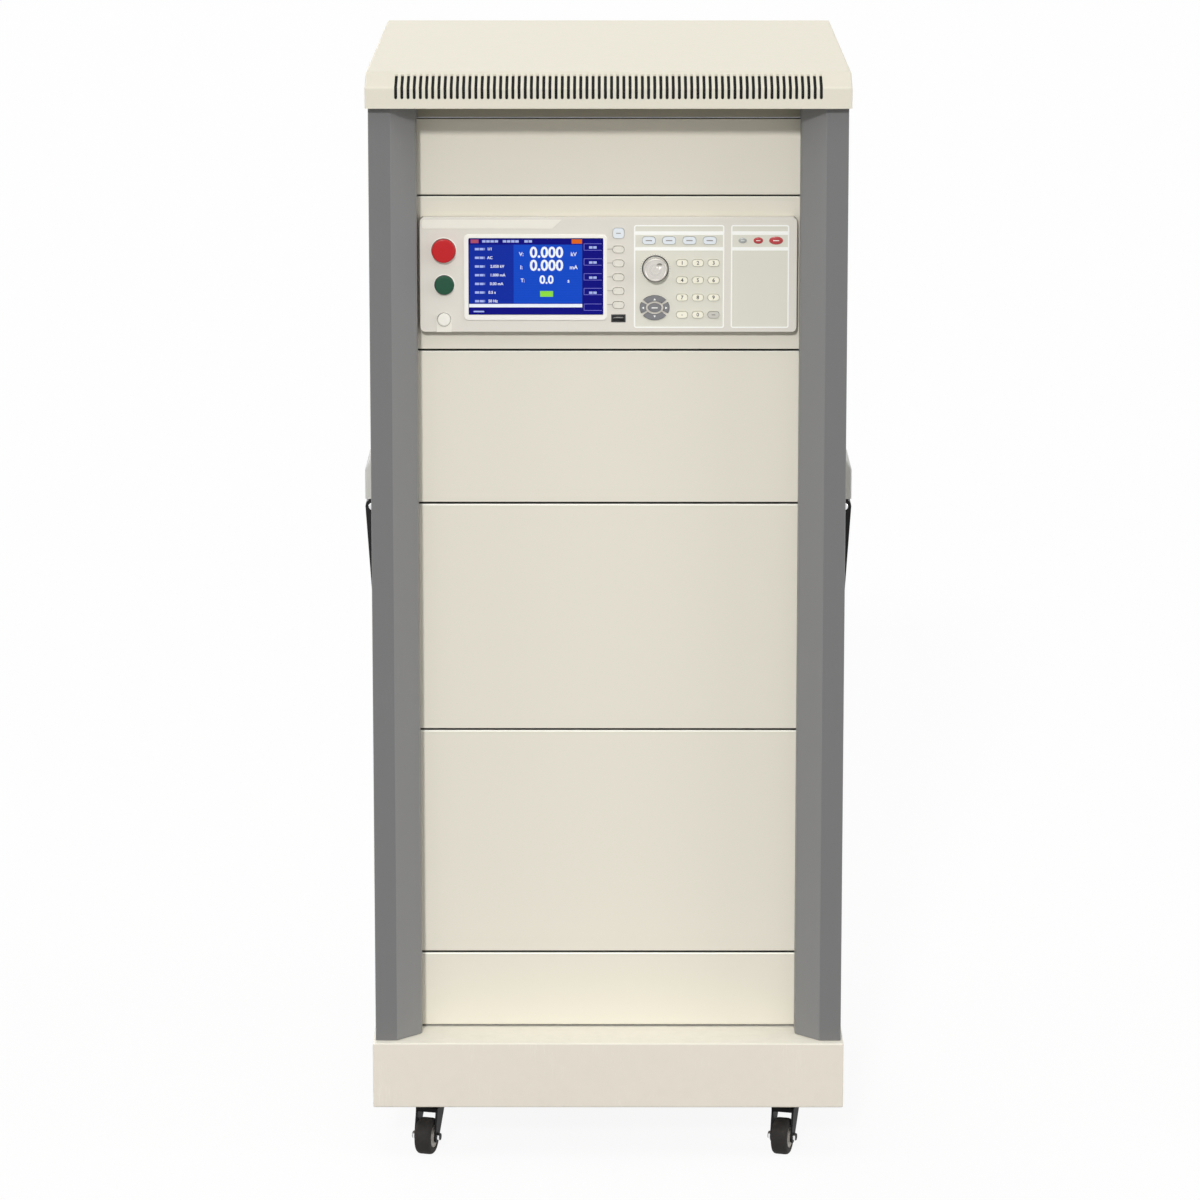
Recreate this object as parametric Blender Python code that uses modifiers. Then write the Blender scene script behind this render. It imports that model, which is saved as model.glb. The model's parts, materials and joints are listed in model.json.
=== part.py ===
"""Electrical safety tester: a 24-unit rack cabinet on casters, with a 3-unit instrument near its top.

Lengths are in metres and +Z is up. The front faces -Y, +X is the viewer's right, and the origin is on
the floor under the middle of the cabinet. Each moving piece has its origin on its joint's axis.
"""

import math
from functools import partial

import bmesh
import bpy
from mathutils import Matrix, Vector

MM = 0.001
GAP = 0.3 * MM  # left between pieces that meet
OVERLAP = 0.5 * MM  # shared by shapes that are joined into one piece
CLEAR = 10.0 * MM  # how far a cutter runs past what it cuts

# Cabinet
CABINET_DEPTH = 650.0 * MM
RACK_UNIT = 44.45 * MM
PANEL_WIDTH = 482.6 * MM
SIDE_MARGIN = 28.7 * MM  # from a panel's end to the cabinet's side
CABINET_WIDTH = PANEL_WIDTH + 2 * SIDE_MARGIN
TRIM_OVERHANG = 3.0 * MM  # of the hood and the plinth past the cabinet's side
TRIM_WIDTH = CABINET_WIDTH + 2 * TRIM_OVERHANG
SHEET = 2.0 * MM
PANEL_SEAM = 0.8 * MM
PANEL_SETBACK = 72.0 * MM  # from the hood's front to the rack panels
PANEL_LIFT = 1.0 * MM  # from the plinth's top to the lowest panel
PANEL_SCREW_SLOT = (10.0 * MM, 6.8 * MM)
PANEL_SCREW_INSET = 7.0 * MM  # from a panel's side, top and bottom edges
PANEL_STACK = (  # top to bottom, in rack units
    ("blank_panel_top", 2),
    ("instrument_surround", 4),
    ("blank_panel_upper", 4),
    ("blank_panel_middle", 6),
    ("blank_panel_lower", 6),
    ("blank_panel_bottom", 2),
)

# Plinth and hood
CASTER_HEIGHT = 66.0 * MM
PLINTH_HEIGHT = 77.0 * MM
PLINTH_SHEET = 3.0 * MM
PLINTH_FLANGE_SIDE = 108.0 * MM  # inward from the plinth's side
PLINTH_FLANGE_END = 110.0 * MM
HEADER_HEIGHT = 18.2 * MM
HOOD_FRONT_HEIGHT = 24.0 * MM
HOOD_BEVEL_RISE = 14.0 * MM
HOOD_BEVEL_DEPTH = 36.0 * MM
HOOD_FLANGE = 32.0 * MM
HOOD_SLOT_COUNT = 70
HOOD_SLOT_PITCH = 6.9 * MM
HOOD_SLOT_WIDTH = 2.6 * MM
HOOD_SLOT_LIFT = 10.5 * MM  # from the hood's lower edge
HOOD_SLOT_REACH = 27.0 * MM  # back from the hood's front, over the bend

# Pillars
PILLAR_SETBACK = 12.0 * MM
PILLAR_FLAT = 25.0 * MM
PILLAR_FACET_DEPTH = 26.0 * MM
PILLAR_WIDTH = 52.5 * MM
PILLAR_OPENING = CABINET_WIDTH - 2 * PILLAR_WIDTH
PILLAR_CORNER = 5.0 * MM

# Rack frame
UPRIGHT = 26.0 * MM
UPRIGHT_SIDE_GAP = 6.0 * MM  # from the upright to the cabinet's outer side
REAR_UPRIGHT_SETBACK = 29.0 * MM
RAIL_WIDTH = 62.0 * MM
RAIL_SHEET = 4.0 * MM
RAIL_WEB = 34.0 * MM

# Rear door
DOOR_RETURN = 13.0 * MM
DOOR_GAP = 2.5 * MM
DOOR_SETBACK = 6.5 * MM  # of its outer face, from the back of the hood
SIDE_RETURN = 20.0 * MM
PIVOT_RADIUS = 3.0 * MM
PIVOT_INSET = 5.5 * MM  # from the door's hinge edge
PIVOT_SETBACK = 4.0 * MM  # from the door's outer face
PIVOT_REACH = 7.5 * MM
LOUVRE_COUNT = 9
LOUVRE_PITCH = 26.0 * MM
LOUVRE_SIZE = (170.0 * MM, 6.0 * MM)
LOUVRE_COLUMN = 105.0 * MM
LOUVRE_ZONE_OFFSET = 330.0 * MM  # of each louvre group, above or below the door's middle
LATCH_RADIUS = 17.0 * MM
LATCH_PLATE = 2.2 * MM
LATCH_GRIP = (26.0 * MM, 7.0 * MM, 3.4 * MM)
LATCH_SHAFT_RADIUS = 5.0 * MM
LATCH_INSET = 30.0 * MM  # from the door's free edge
LATCH_CAM = (12.0 * MM, 24.0 * MM, 3.0 * MM)  # width, reach, thickness

# Instrument
BEZEL_INSET = 26.3 * MM  # from a panel's end to the bezel's side
BEZEL_WIDTH = PANEL_WIDTH - 2 * BEZEL_INSET
BEZEL_HEIGHT = 132.5 * MM
BEZEL_DEPTH = 11.0 * MM
BEZEL_FACE = 2.5 * MM
BEZEL_CORNER = 6.0 * MM
CUT_OUT_LAP = 3.0 * MM  # bezel over the surround's opening
CASE_GAP = 1.0 * MM
CASE_DEPTH = 400.0 * MM
CASE_SHEET = 1.5 * MM
CASE_VENTS = 12
CASE_VENT_PITCH = 9.0 * MM
CASE_VENT = (4.5 * MM, 60.0 * MM)
SCREEN_SIZE = (153.0 * MM, 87.7 * MM)
SCREEN_AT = (132.5 * MM, -1.8 * MM)  # from the bezel's left side and its middle height
SCREEN_SINK = 0.6 * MM
SCREEN_GLASS = 1.4 * MM
USB_SIZE = (15.8 * MM, 8.7 * MM)
USB_AT = (226.4 * MM, -49.9 * MM)
USB_MOUTH = (12.4 * MM, 5.4 * MM)
USB_TONGUE = (11.0 * MM, 1.9 * MM)
USB_DEPTH = 9.0 * MM
USB_PROUD = 0.4 * MM

# Controls, placed from the bezel's left side and its middle height
KEY_PROUD = 1.8 * MM
KEY_FLANGE = 1.2 * MM
KEY_LIP = 1.2 * MM
KEY_CORNER = 3.2 * MM
ARROW_LIP = 0.5 * MM
STOP_RADIUS = 13.5 * MM
STOP_AT = (27.6 * MM, 27.8 * MM)
STOP_PROUD = 7.0 * MM
START_RADIUS = 10.9 * MM
START_AT = (28.2 * MM, -11.6 * MM)
START_PROUD = 5.0 * MM
POWER_RADIUS = 7.5 * MM
POWER_AT = (27.7 * MM, -51.4 * MM)
POWER_PROUD = 3.0 * MM
LOCK_KEY_SIZE = (12.5 * MM, 11.5 * MM)
LOCK_KEY_Z = 47.8 * MM
SOFT_KEY_SIZE = (12.6 * MM, 7.6 * MM)
SOFT_KEY_X = 226.4 * MM
SOFT_KEY_TOP = 29.2 * MM
SOFT_KEY_PITCH = 15.9 * MM
SOFT_KEY_COUNT = 5
MENU_KEY_SIZE = (14.6 * MM, 8.2 * MM)
MENU_KEY_LEFT = 260.9 * MM
MENU_KEY_PITCH = 23.05 * MM
MENU_KEY_COUNT = 4
MENU_KEY_Z = 39.5 * MM
NUMBER_KEY_SIZE = (12.6 * MM, 7.3 * MM)
NUMBER_KEY_LEFT = 298.8 * MM
NUMBER_KEY_TOP = 13.8 * MM
NUMBER_KEY_PITCH = (17.9 * MM, 19.8 * MM)
NUMBER_KEY_NAMES = ("1", "2", "3", "4", "5", "6", "7", "8", "9", "point", "0", "clear")
ARROW_PAD_AT = (267.6 * MM, -37.6 * MM)
ARROW_PAD_SIZE = (33.6 * MM, 28.3 * MM)
ARROW_INNER_SIZE = (20.6 * MM, 15.4 * MM)
ARROW_KEYS = (("right", 0.0, 26.0), ("up", 90.0, 50.0), ("left", 180.0, 26.0), ("down", 270.0, 50.0))
ENTER_KEY_SIZE = (15.3 * MM, 10.0 * MM)
KNOB_RADIUS = 14.0 * MM
KNOB_AT = (268.4 * MM, 7.1 * MM)
KNOB_PROUD = 12.0 * MM
KNOB_SHAFT_RADIUS = 3.0 * MM
KNOB_DIMPLE_RADIUS = 6.0 * MM
KNOB_DIMPLE_DEPTH = 1.6 * MM
KNOB_DIMPLE_OFFSET = 6.2 * MM
KNOB_RIM = 0.6 * MM  # of the knob's rim above its face

# Casters
CASTER_INSET = (65.0 * MM, 48.0 * MM)  # of a kingpin, from the plinth's side and end
CASTER_YAW = math.radians(-16.0)
CASTER_TRAIL = -15.0 * MM  # from the kingpin to the axle, towards the front at rest
CASTER_PLATE = (52.0 * MM, 52.0 * MM, 3.0 * MM)
WHEEL_RADIUS = 21.5 * MM
TYRE_WIDTH = 19.0 * MM
HUB_WIDTH = 21.0 * MM
HUB_RADIUS = 13.0 * MM
HUB_RECESS = 1.5 * MM  # of the hub's web from the tyre's side
WHEEL_SIDES = 24
AXLE_RADIUS = 3.0 * MM
AXLE_NUT_RADIUS = 4.2 * MM
AXLE_NUT_LENGTH = 4.0 * MM
FORK_SHEET = 2.6 * MM
FORK_TOP = 55.0 * MM
FORK_BRIDGE = (30.0 * MM, 5.0 * MM)  # along the wheel's path, and thick
FORK_EYE_RADIUS = 7.5 * MM
SWIVEL_RADIUS = 16.0 * MM
SWIVEL_RIM = 3.5 * MM
KINGPIN_RADIUS = 4.0 * MM
KINGPIN_NUT_RADIUS = 7.5 * MM
KINGPIN_NUT_HEIGHT = 5.0 * MM

# Side handles
HANDLE_REACH = 18.0 * MM
HANDLE_LENGTH = 130.0 * MM  # front to back
HANDLE_Z = 728.5 * MM  # of the grip's pin
HANDLE_DROP = 118.0 * MM  # from the pin to the grip's lower edge
HANDLE_FOOT = 9.0 * MM  # thickness of the grip's lower edge
HANDLE_WINDOW = (86.0 * MM, 52.0 * MM)
HANDLE_WINDOW_DROP = 60.0 * MM
HANDLE_PIN_RADIUS = 2.5 * MM
HANDLE_PIN_HEAD = (4.5 * MM, 1.5 * MM)
HANDLE_CAP_HEIGHT = 52.0 * MM
HANDLE_CAP_SLOPE = 15.5 * MM
HANDLE_EAR = 5.0 * MM
HANDLE_EAR_SPACING = 84.0 * MM

# Places that follow from the sizes above
FRONT = -CABINET_DEPTH / 2
BACK = CABINET_DEPTH / 2
PANEL_Y = FRONT + PANEL_SETBACK
PANEL_BACK = PANEL_Y + SHEET
PILLAR_Y = FRONT + PILLAR_SETBACK
SIDE_X = CABINET_WIDTH / 2
PLINTH_BOTTOM = CASTER_HEIGHT
PLINTH_TOP = PLINTH_BOTTOM + PLINTH_HEIGHT
PANELS_BOTTOM = PLINTH_TOP + PANEL_LIFT
PANELS_TOP = PANELS_BOTTOM + RACK_UNIT * sum(units for _, units in PANEL_STACK)
HOOD_BOTTOM = PANELS_TOP + HEADER_HEIGHT
HOOD_BEND = HOOD_BOTTOM + HOOD_FRONT_HEIGHT
HOOD_TOP = HOOD_BEND + HOOD_BEVEL_RISE
WALL_BOTTOM = PLINTH_TOP + GAP
WALL_TOP = HOOD_BOTTOM - GAP
INSTRUMENT_Z = PANELS_TOP - RACK_UNIT * (PANEL_STACK[0][1] + PANEL_STACK[1][1] / 2)
BEZEL_FRONT = PANEL_Y - GAP - BEZEL_DEPTH
BEZEL_REAR_FACE = BEZEL_FRONT + BEZEL_FACE
CUT_OUT_WIDTH = BEZEL_WIDTH - 2 * CUT_OUT_LAP
CUT_OUT_HEIGHT = BEZEL_HEIGHT - 2 * CUT_OUT_LAP
CASE_WIDTH = CUT_OUT_WIDTH - 2 * CASE_GAP
CASE_HEIGHT = CUT_OUT_HEIGHT - 2 * CASE_GAP
CASE_FRONT = PANEL_Y
CASE_BOTTOM = INSTRUMENT_Z - CASE_HEIGHT / 2
UPRIGHT_X = SIDE_X - UPRIGHT_SIDE_GAP - UPRIGHT / 2
FRONT_UPRIGHT_Y = PANEL_BACK + GAP + UPRIGHT / 2
REAR_UPRIGHT_Y = BACK - REAR_UPRIGHT_SETBACK - UPRIGHT / 2
DOOR_OUTER = BACK - DOOR_SETBACK
DOOR_INNER = DOOR_OUTER - DOOR_RETURN
SIDE_BACK = DOOR_INNER - DOOR_GAP
DOOR_X = SIDE_X - DOOR_GAP - SHEET
DOOR_BOTTOM = PLINTH_TOP + DOOR_GAP
DOOR_TOP = HOOD_BOTTOM - DOOR_GAP
DOOR_MIDDLE = (DOOR_BOTTOM + DOOR_TOP) / 2
PIVOT_X = -DOOR_X + PIVOT_INSET
PIVOT_Y = DOOR_OUTER - PIVOT_SETBACK
LATCH_X = DOOR_X - LATCH_INSET
HANDLE_PIN_X = SIDE_X + HANDLE_REACH / 2 + OVERLAP
HANDLE_KNUCKLE = HANDLE_REACH / 2 - OVERLAP

# Frames whose Z axis is the way a prism is extruded or a profile turned
UPWARD = Matrix.Identity(4)
FORWARD = Matrix.Rotation(math.pi / 2, 4, "X")  # X to +X, Y to +Z, Z to -Y
SIDEWAYS = Matrix(((0, 0, 1, 0), (1, 0, 0, 0), (0, 1, 0, 0), (0, 0, 0, 1)))  # X to +Y, Y to +Z, Z to +X


def clear_scene():
    """Removes what the file held, so that only this object is left."""
    for obj in list(bpy.data.objects):
        bpy.data.objects.remove(obj, do_unlink=True)


def new_collection(name):
    """A collection linked to the scene."""
    found = bpy.data.collections.new(name)
    bpy.context.scene.collection.children.link(found)
    return found


def finish(name, colour, roughness, metallic=0.0):
    """A Principled material."""
    made = bpy.data.materials.new(name)
    made.use_nodes = True
    shader = made.node_tree.nodes["Principled BSDF"]
    shader.inputs["Base Color"].default_value = (*colour, 1.0)
    shader.inputs["Roughness"].default_value = roughness
    shader.inputs["Metallic"].default_value = metallic
    made.diffuse_color = (*colour, 1.0)
    return made


clear_scene()
PARTS = new_collection("electrical_safety_tester")
CUTTERS = new_collection("cutters")

FINISHES = {
    "cream_panel": finish("cream_panel", (0.73, 0.70, 0.60), 0.55),
    "cream_trim": finish("cream_trim", (0.80, 0.78, 0.68), 0.5),
    "grey_pillar": finish("grey_pillar", (0.19, 0.19, 0.19), 0.5),
    "zinc_frame": finish("zinc_frame", (0.55, 0.56, 0.57), 0.45, 0.8),
    "bezel_grey": finish("bezel_grey", (0.50, 0.50, 0.47), 0.5),
    "screen_glass": finish("screen_glass", (0.02, 0.08, 0.35), 0.15),
    "black_plastic": finish("black_plastic", (0.02, 0.02, 0.02), 0.5),
    "red_button": finish("red_button", (0.60, 0.02, 0.02), 0.4),
    "green_button": finish("green_button", (0.03, 0.35, 0.08), 0.4),
    "white_key": finish("white_key", (0.70, 0.74, 0.80), 0.5),
    "cream_key": finish("cream_key", (0.75, 0.72, 0.62), 0.5),
    "dark_key": finish("dark_key", (0.08, 0.08, 0.09), 0.5),
    "knob_metal": finish("knob_metal", (0.45, 0.46, 0.48), 0.35, 0.7),
    "tyre_rubber": finish("tyre_rubber", (0.05, 0.045, 0.04), 0.8),
    "fork_black": finish("fork_black", (0.03, 0.03, 0.03), 0.45),
}


def add_part(obj, slot):
    """Keeps an object as one of the tester's pieces."""
    PARTS.objects.link(obj)
    obj.data.materials.append(FINISHES[slot])
    return obj


def add_cutter(obj):
    """Keeps an object only as something a Boolean uses."""
    CUTTERS.objects.link(obj)
    obj.hide_render = True
    obj.display_type = "WIRE"
    return obj


def combine(target, other, operation):
    """Joins another shape to the target, or cuts it out, and returns the target."""
    modifier = target.modifiers.new(f"{operation.lower()} {other.name}", "BOOLEAN")
    modifier.operation = operation
    modifier.solver = "EXACT"
    modifier.object = add_cutter(other)
    return target


def join(target, *others):
    """Joins overlapping shapes to the target as one solid."""
    for other in others:
        combine(target, other, "UNION")
    return target


def cut(target, *others):
    """Cuts shapes out of the target."""
    for other in others:
        combine(target, other, "DIFFERENCE")
    return target


def put_origin(obj, at):
    """Moves a piece's origin onto its joint's axis and leaves its shape where it is."""
    obj.data.transform(Matrix.Translation(-Vector(at)))
    obj.location = Vector(at)
    return obj


def boxes(name, *corners):
    """Boxes, each given by its lowest and highest corner."""
    mesh = bpy.data.meshes.new(name)
    bm = bmesh.new()
    for low, high in corners:
        low, high = Vector(low), Vector(high)
        place = Matrix.Translation((low + high) / 2) @ Matrix.Diagonal((*(high - low), 1.0))
        bmesh.ops.create_cube(bm, size=1.0, matrix=place)
    bm.to_mesh(mesh)
    bm.free()
    return bpy.data.objects.new(name, mesh)


def prism(name, outlines, low, high, frame=UPWARD):
    """A solid from low to high along the frame's Z: the first outline is its edge, others are holes."""
    curve = bpy.data.curves.new(name, "CURVE")
    curve.dimensions = "2D"
    curve.fill_mode = "BOTH"
    curve.extrude = (high - low) / 2
    for outline in outlines:
        spline = curve.splines.new("POLY")
        spline.points.add(len(outline) - 1)
        for point, (u, v) in zip(spline.points, outline):
            point.co = (u, v, 0.0, 1.0)
        spline.use_cyclic_u = True
    flat = bpy.data.objects.new(name, curve)
    mesh = bpy.data.meshes.new_from_object(flat)
    mesh.name = name
    bpy.data.objects.remove(flat, do_unlink=True)
    bm = bmesh.new()
    bm.from_mesh(mesh)
    bmesh.ops.remove_doubles(bm, verts=bm.verts, dist=0.002 * MM)
    if len(outlines) == 1:
        bmesh.ops.dissolve_limit(bm, angle_limit=0.001, verts=bm.verts, edges=bm.edges)
    bmesh.ops.recalc_face_normals(bm, faces=bm.faces)
    bm.transform(frame @ Matrix.Translation((0.0, 0.0, (low + high) / 2)))
    bm.to_mesh(mesh)
    bm.free()
    return bpy.data.objects.new(name, mesh)


def prisms(name, outlines, low, high, frame=UPWARD):
    """Several separate prisms in one object, one for each outline, to cut many holes at once."""
    mesh = bpy.data.meshes.new(name)
    bm = bmesh.new()
    for outline in outlines:
        single = prism(f"{name}_single", [outline], low, high, frame)
        bm.from_mesh(single.data)
        bpy.data.objects.remove(single, do_unlink=True)
    bm.to_mesh(mesh)
    bm.free()
    return bpy.data.objects.new(name, mesh)


def lathe(name, profile, sides, frame=UPWARD, closed=False):
    """A turned solid. The profile is radius and height, down the outer side from top to bottom."""
    mesh = bpy.data.meshes.new(name)
    last = len(profile) - 1
    edges = [(i, i + 1) for i in range(last)] + ([(last, 0)] if closed else [])
    mesh.from_pydata([(radius, 0.0, height) for radius, height in profile], edges, [])
    obj = bpy.data.objects.new(name, mesh)
    obj.matrix_world = frame
    screw = obj.modifiers.new("turn", "SCREW")
    screw.steps = screw.render_steps = sides
    screw.use_merge_vertices = True
    screw.merge_threshold = 0.01 * MM
    screw.use_smooth_shade = False
    return obj


def rod(name, radius, low, high, frame, sides=16):
    """A plain round bar from low to high along the frame's Z."""
    return lathe(name, [(0.0, high), (radius, high), (radius, low), (0.0, low)], sides, frame)


def rectangle(centre, size, grow=0.0):
    """The corners of a rectangle, each side moved out by grow."""
    (u, v), half_u, half_v = centre, size[0] / 2 + grow, size[1] / 2 + grow
    return [(u - half_u, v - half_v), (u + half_u, v - half_v),
            (u + half_u, v + half_v), (u - half_u, v + half_v)]


def ellipse(centre, size, grow=0.0, sides=24):
    """Points round an ellipse or a circle."""
    (u, v), half_u, half_v = centre, size[0] / 2 + grow, size[1] / 2 + grow
    turns = [2 * math.pi * (i + 0.5) / sides for i in range(sides)]
    return [(u + half_u * math.cos(t), v + half_v * math.sin(t)) for t in turns]


def rounded(centre, size, corner, grow=0.0, steps=3):
    """A rectangle with rounded corners, each side moved out by grow."""
    (u, v), radius = centre, corner + grow
    half_u, half_v = size[0] / 2 - corner, size[1] / 2 - corner
    found = []
    for quarter, (way_u, way_v) in enumerate(((1, 1), (-1, 1), (-1, -1), (1, -1))):
        turns = [math.radians(90.0 * (quarter + i / steps)) for i in range(steps + 1)]
        found += [(u + way_u * half_u + radius * math.cos(t), v + way_v * half_v + radius * math.sin(t))
                  for t in turns]
    return found


def key_outline(centre, size, grow=0.0):
    """A push key's outline."""
    return rounded(centre, size, KEY_CORNER, grow)


def pad_sector(middle, half_angle, grow=0.0, sides=8):
    """One arrow key: the part of an oval ring round the middle angle, in degrees."""
    u, v = console(ARROW_PAD_AT)
    inner_u, inner_v = ARROW_INNER_SIZE[0] / 2 - grow, ARROW_INNER_SIZE[1] / 2 - grow
    outer_u, outer_v = ARROW_PAD_SIZE[0] / 2 + grow, ARROW_PAD_SIZE[1] / 2 + grow
    widen_inner = math.degrees(2 * grow / (inner_u + inner_v))
    widen_outer = math.degrees(2 * grow / (outer_u + outer_v))

    def arc(half_u, half_v, half):
        turns = [math.radians(middle - half + 2 * half * i / sides) for i in range(sides + 1)]
        return [(u + half_u * math.cos(t), v + half_v * math.sin(t)) for t in turns]

    outer = arc(outer_u, outer_v, half_angle + widen_outer)
    return outer + arc(inner_u, inner_v, half_angle + widen_inner)[::-1]


def inset(outline, distance):
    """A closed convex outline, given anticlockwise, with each side moved in by the distance."""
    found = []
    for before, here, after in zip(outline[-1:] + outline[:-1], outline, outline[1:] + outline[:1]):
        first = (Vector(here) - Vector(before)).normalized()
        second = (Vector(after) - Vector(here)).normalized()
        inward = Vector((-first.y, first.x)) + Vector((-second.y, second.x))
        found.append(tuple(Vector(here) + inward * (distance / (1 + first.dot(second)))))
    return found


def folded(path, thickness):
    """The outline of a sheet folded along an open path, with its thickness on the path's left."""
    points = [Vector(point) for point in path]
    ways = [(b - a).normalized() for a, b in zip(points, points[1:])]
    inner = []
    for here, first, second in zip(points, ways[:1] + ways, ways + ways[-1:]):
        inward = Vector((-first.y, first.x)) + Vector((-second.y, second.x))
        inner.append(tuple(here + inward * (thickness / (1 + first.dot(second)))))
    return [tuple(point) for point in path] + inner[::-1]


def mirrored(outline, side):
    """The outline as it is for the right side (1), or its mirror image for the left (-1)."""
    return [(side * u, v) for u, v in outline]


def console(at):
    """World X and Z of a place that is given from the bezel's left side and its middle height."""
    return (at[0] - BEZEL_WIDTH / 2, INSTRUMENT_Z + at[1])


def build_hood():
    """The hood: a folded box, open below, with a row of slots over its front bend."""
    outer = [(FRONT, HOOD_BOTTOM), (BACK, HOOD_BOTTOM), (BACK, HOOD_TOP),
             (FRONT + HOOD_BEVEL_DEPTH, HOOD_TOP), (FRONT, HOOD_BEND)]
    half = TRIM_WIDTH / 2
    hood = prism("hood", [outer], -half, half, SIDEWAYS)
    header_x = PILLAR_OPENING / 2 - GAP
    header = boxes("hood_header", ((-header_x, PANEL_Y, PANELS_TOP + PANEL_SEAM),
                                   (header_x, PANEL_BACK, HOOD_BOTTOM + SHEET / 2)))
    hollow = prism("hood_hollow", [inset(outer, SHEET)], SHEET - half, half - SHEET, SIDEWAYS)
    opening = boxes("hood_opening", ((HOOD_FLANGE - half, PANEL_BACK + HOOD_FLANGE, HOOD_BOTTOM - CLEAR),
                                     (half - HOOD_FLANGE, BACK - HOOD_FLANGE, HOOD_BOTTOM + CLEAR)))
    first = -HOOD_SLOT_PITCH * (HOOD_SLOT_COUNT - 1) / 2
    slots = boxes("hood_slots", *(
        ((first + i * HOOD_SLOT_PITCH - HOOD_SLOT_WIDTH / 2, FRONT - CLEAR, HOOD_BOTTOM + HOOD_SLOT_LIFT),
         (first + i * HOOD_SLOT_PITCH + HOOD_SLOT_WIDTH / 2, FRONT + HOOD_SLOT_REACH, HOOD_TOP + CLEAR))
        for i in range(HOOD_SLOT_COUNT)))
    pivot = rod("hood_pivot_hole", PIVOT_RADIUS + GAP, HOOD_BOTTOM - CLEAR, HOOD_BOTTOM + CLEAR,
                Matrix.Translation((PIVOT_X, PIVOT_Y, 0.0)))
    join(hood, header)
    cut(hood, hollow, opening, slots, pivot)
    add_part(hood, "cream_trim")


def caster_places():
    """The four kingpin places, as name, X and Y."""
    half_x, half_y = TRIM_WIDTH / 2 - CASTER_INSET[0], CABINET_DEPTH / 2 - CASTER_INSET[1]
    return [(f"{end}_{side}", x, y) for end, y in (("front", -half_y), ("rear", half_y))
            for side, x in (("left", -half_x), ("right", half_x))]


def build_plinth():
    """The base: a folded box, open below inside a flange that carries the four caster plates."""
    half = TRIM_WIDTH / 2
    plinth = boxes("base_plinth", ((-half, FRONT, PLINTH_BOTTOM), (half, BACK, PLINTH_TOP)))
    wide, deep, thick = CASTER_PLATE
    plates = boxes("caster_plates", *(
        ((x - wide / 2, y - deep / 2, PLINTH_BOTTOM - thick),
         (x + wide / 2, y + deep / 2, PLINTH_BOTTOM + OVERLAP))
        for _, x, y in caster_places()))
    hollow = boxes("plinth_hollow", ((SHEET - half, FRONT + SHEET, PLINTH_BOTTOM + PLINTH_SHEET),
                                     (half - SHEET, BACK - SHEET, PLINTH_TOP - PLINTH_SHEET)))
    opening = boxes("plinth_opening", (
        (PLINTH_FLANGE_SIDE - half, FRONT + PLINTH_FLANGE_END, PLINTH_BOTTOM - CLEAR),
        (half - PLINTH_FLANGE_SIDE, BACK - PLINTH_FLANGE_END, PLINTH_BOTTOM + CLEAR)))
    join(plinth, plates)
    cut(plinth, hollow, opening)
    for name, x, y in caster_places():
        cut(plinth, rod(f"kingpin_bore_{name}", KINGPIN_RADIUS + GAP, PLINTH_BOTTOM - CLEAR,
                        PLINTH_BOTTOM + CLEAR, Matrix.Translation((x, y, 0.0))))
    cut(plinth, rod("plinth_pivot_hole", PIVOT_RADIUS + GAP, PLINTH_TOP - CLEAR, PLINTH_TOP + CLEAR,
                    Matrix.Translation((PIVOT_X, PIVOT_Y, 0.0))))
    add_part(plinth, "cream_trim")


def build_rack_frame():
    """The welded inner frame: four uprights, a ring at each end and two rails under the instrument."""
    half = UPRIGHT / 2
    posts = [((side * UPRIGHT_X - half, y - half, WALL_BOTTOM), (side * UPRIGHT_X + half, y + half, WALL_TOP))
             for side in (-1, 1) for y in (FRONT_UPRIGHT_Y, REAR_UPRIGHT_Y)]
    frame = boxes("rack_frame", posts[0])
    join(frame, boxes("frame_posts", *posts[1:]))
    rail_top = CASE_BOTTOM - GAP
    inner = CASE_WIDTH / 2 - RAIL_WIDTH / 3
    cross, along, rails, webs = [], [], [], []
    for low in (WALL_BOTTOM + OVERLAP, WALL_TOP - UPRIGHT - OVERLAP):
        for y in (FRONT_UPRIGHT_Y, REAR_UPRIGHT_Y):
            cross.append(((-UPRIGHT_X, y - half + OVERLAP, low),
                          (UPRIGHT_X, y + half - OVERLAP, low + UPRIGHT)))
        for side in (-1, 1):
            centre = side * UPRIGHT_X
            along.append(((centre - half + OVERLAP, FRONT_UPRIGHT_Y, low + OVERLAP),
                          (centre + half - OVERLAP, REAR_UPRIGHT_Y, low + UPRIGHT - OVERLAP)))
    for side in (-1, 1):
        spans = sorted((side * inner, side * (UPRIGHT_X - half / 2)))
        rails.append(((spans[0], FRONT_UPRIGHT_Y - half / 2, rail_top - RAIL_SHEET),
                      (spans[1], REAR_UPRIGHT_Y + half / 2, rail_top)))
        web = side * (CASE_WIDTH / 2 + RAIL_WIDTH / 6)
        webs.append(((web - RAIL_SHEET / 2, FRONT_UPRIGHT_Y - half / 3, rail_top - RAIL_WEB),
                     (web + RAIL_SHEET / 2, REAR_UPRIGHT_Y + half / 3, rail_top - RAIL_SHEET / 2)))
    join(frame, boxes("frame_cross_bars", *cross), boxes("frame_side_bars", *along),
         boxes("frame_rails", *rails), boxes("frame_rail_webs", *webs))
    add_part(frame, "zinc_frame")


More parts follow.
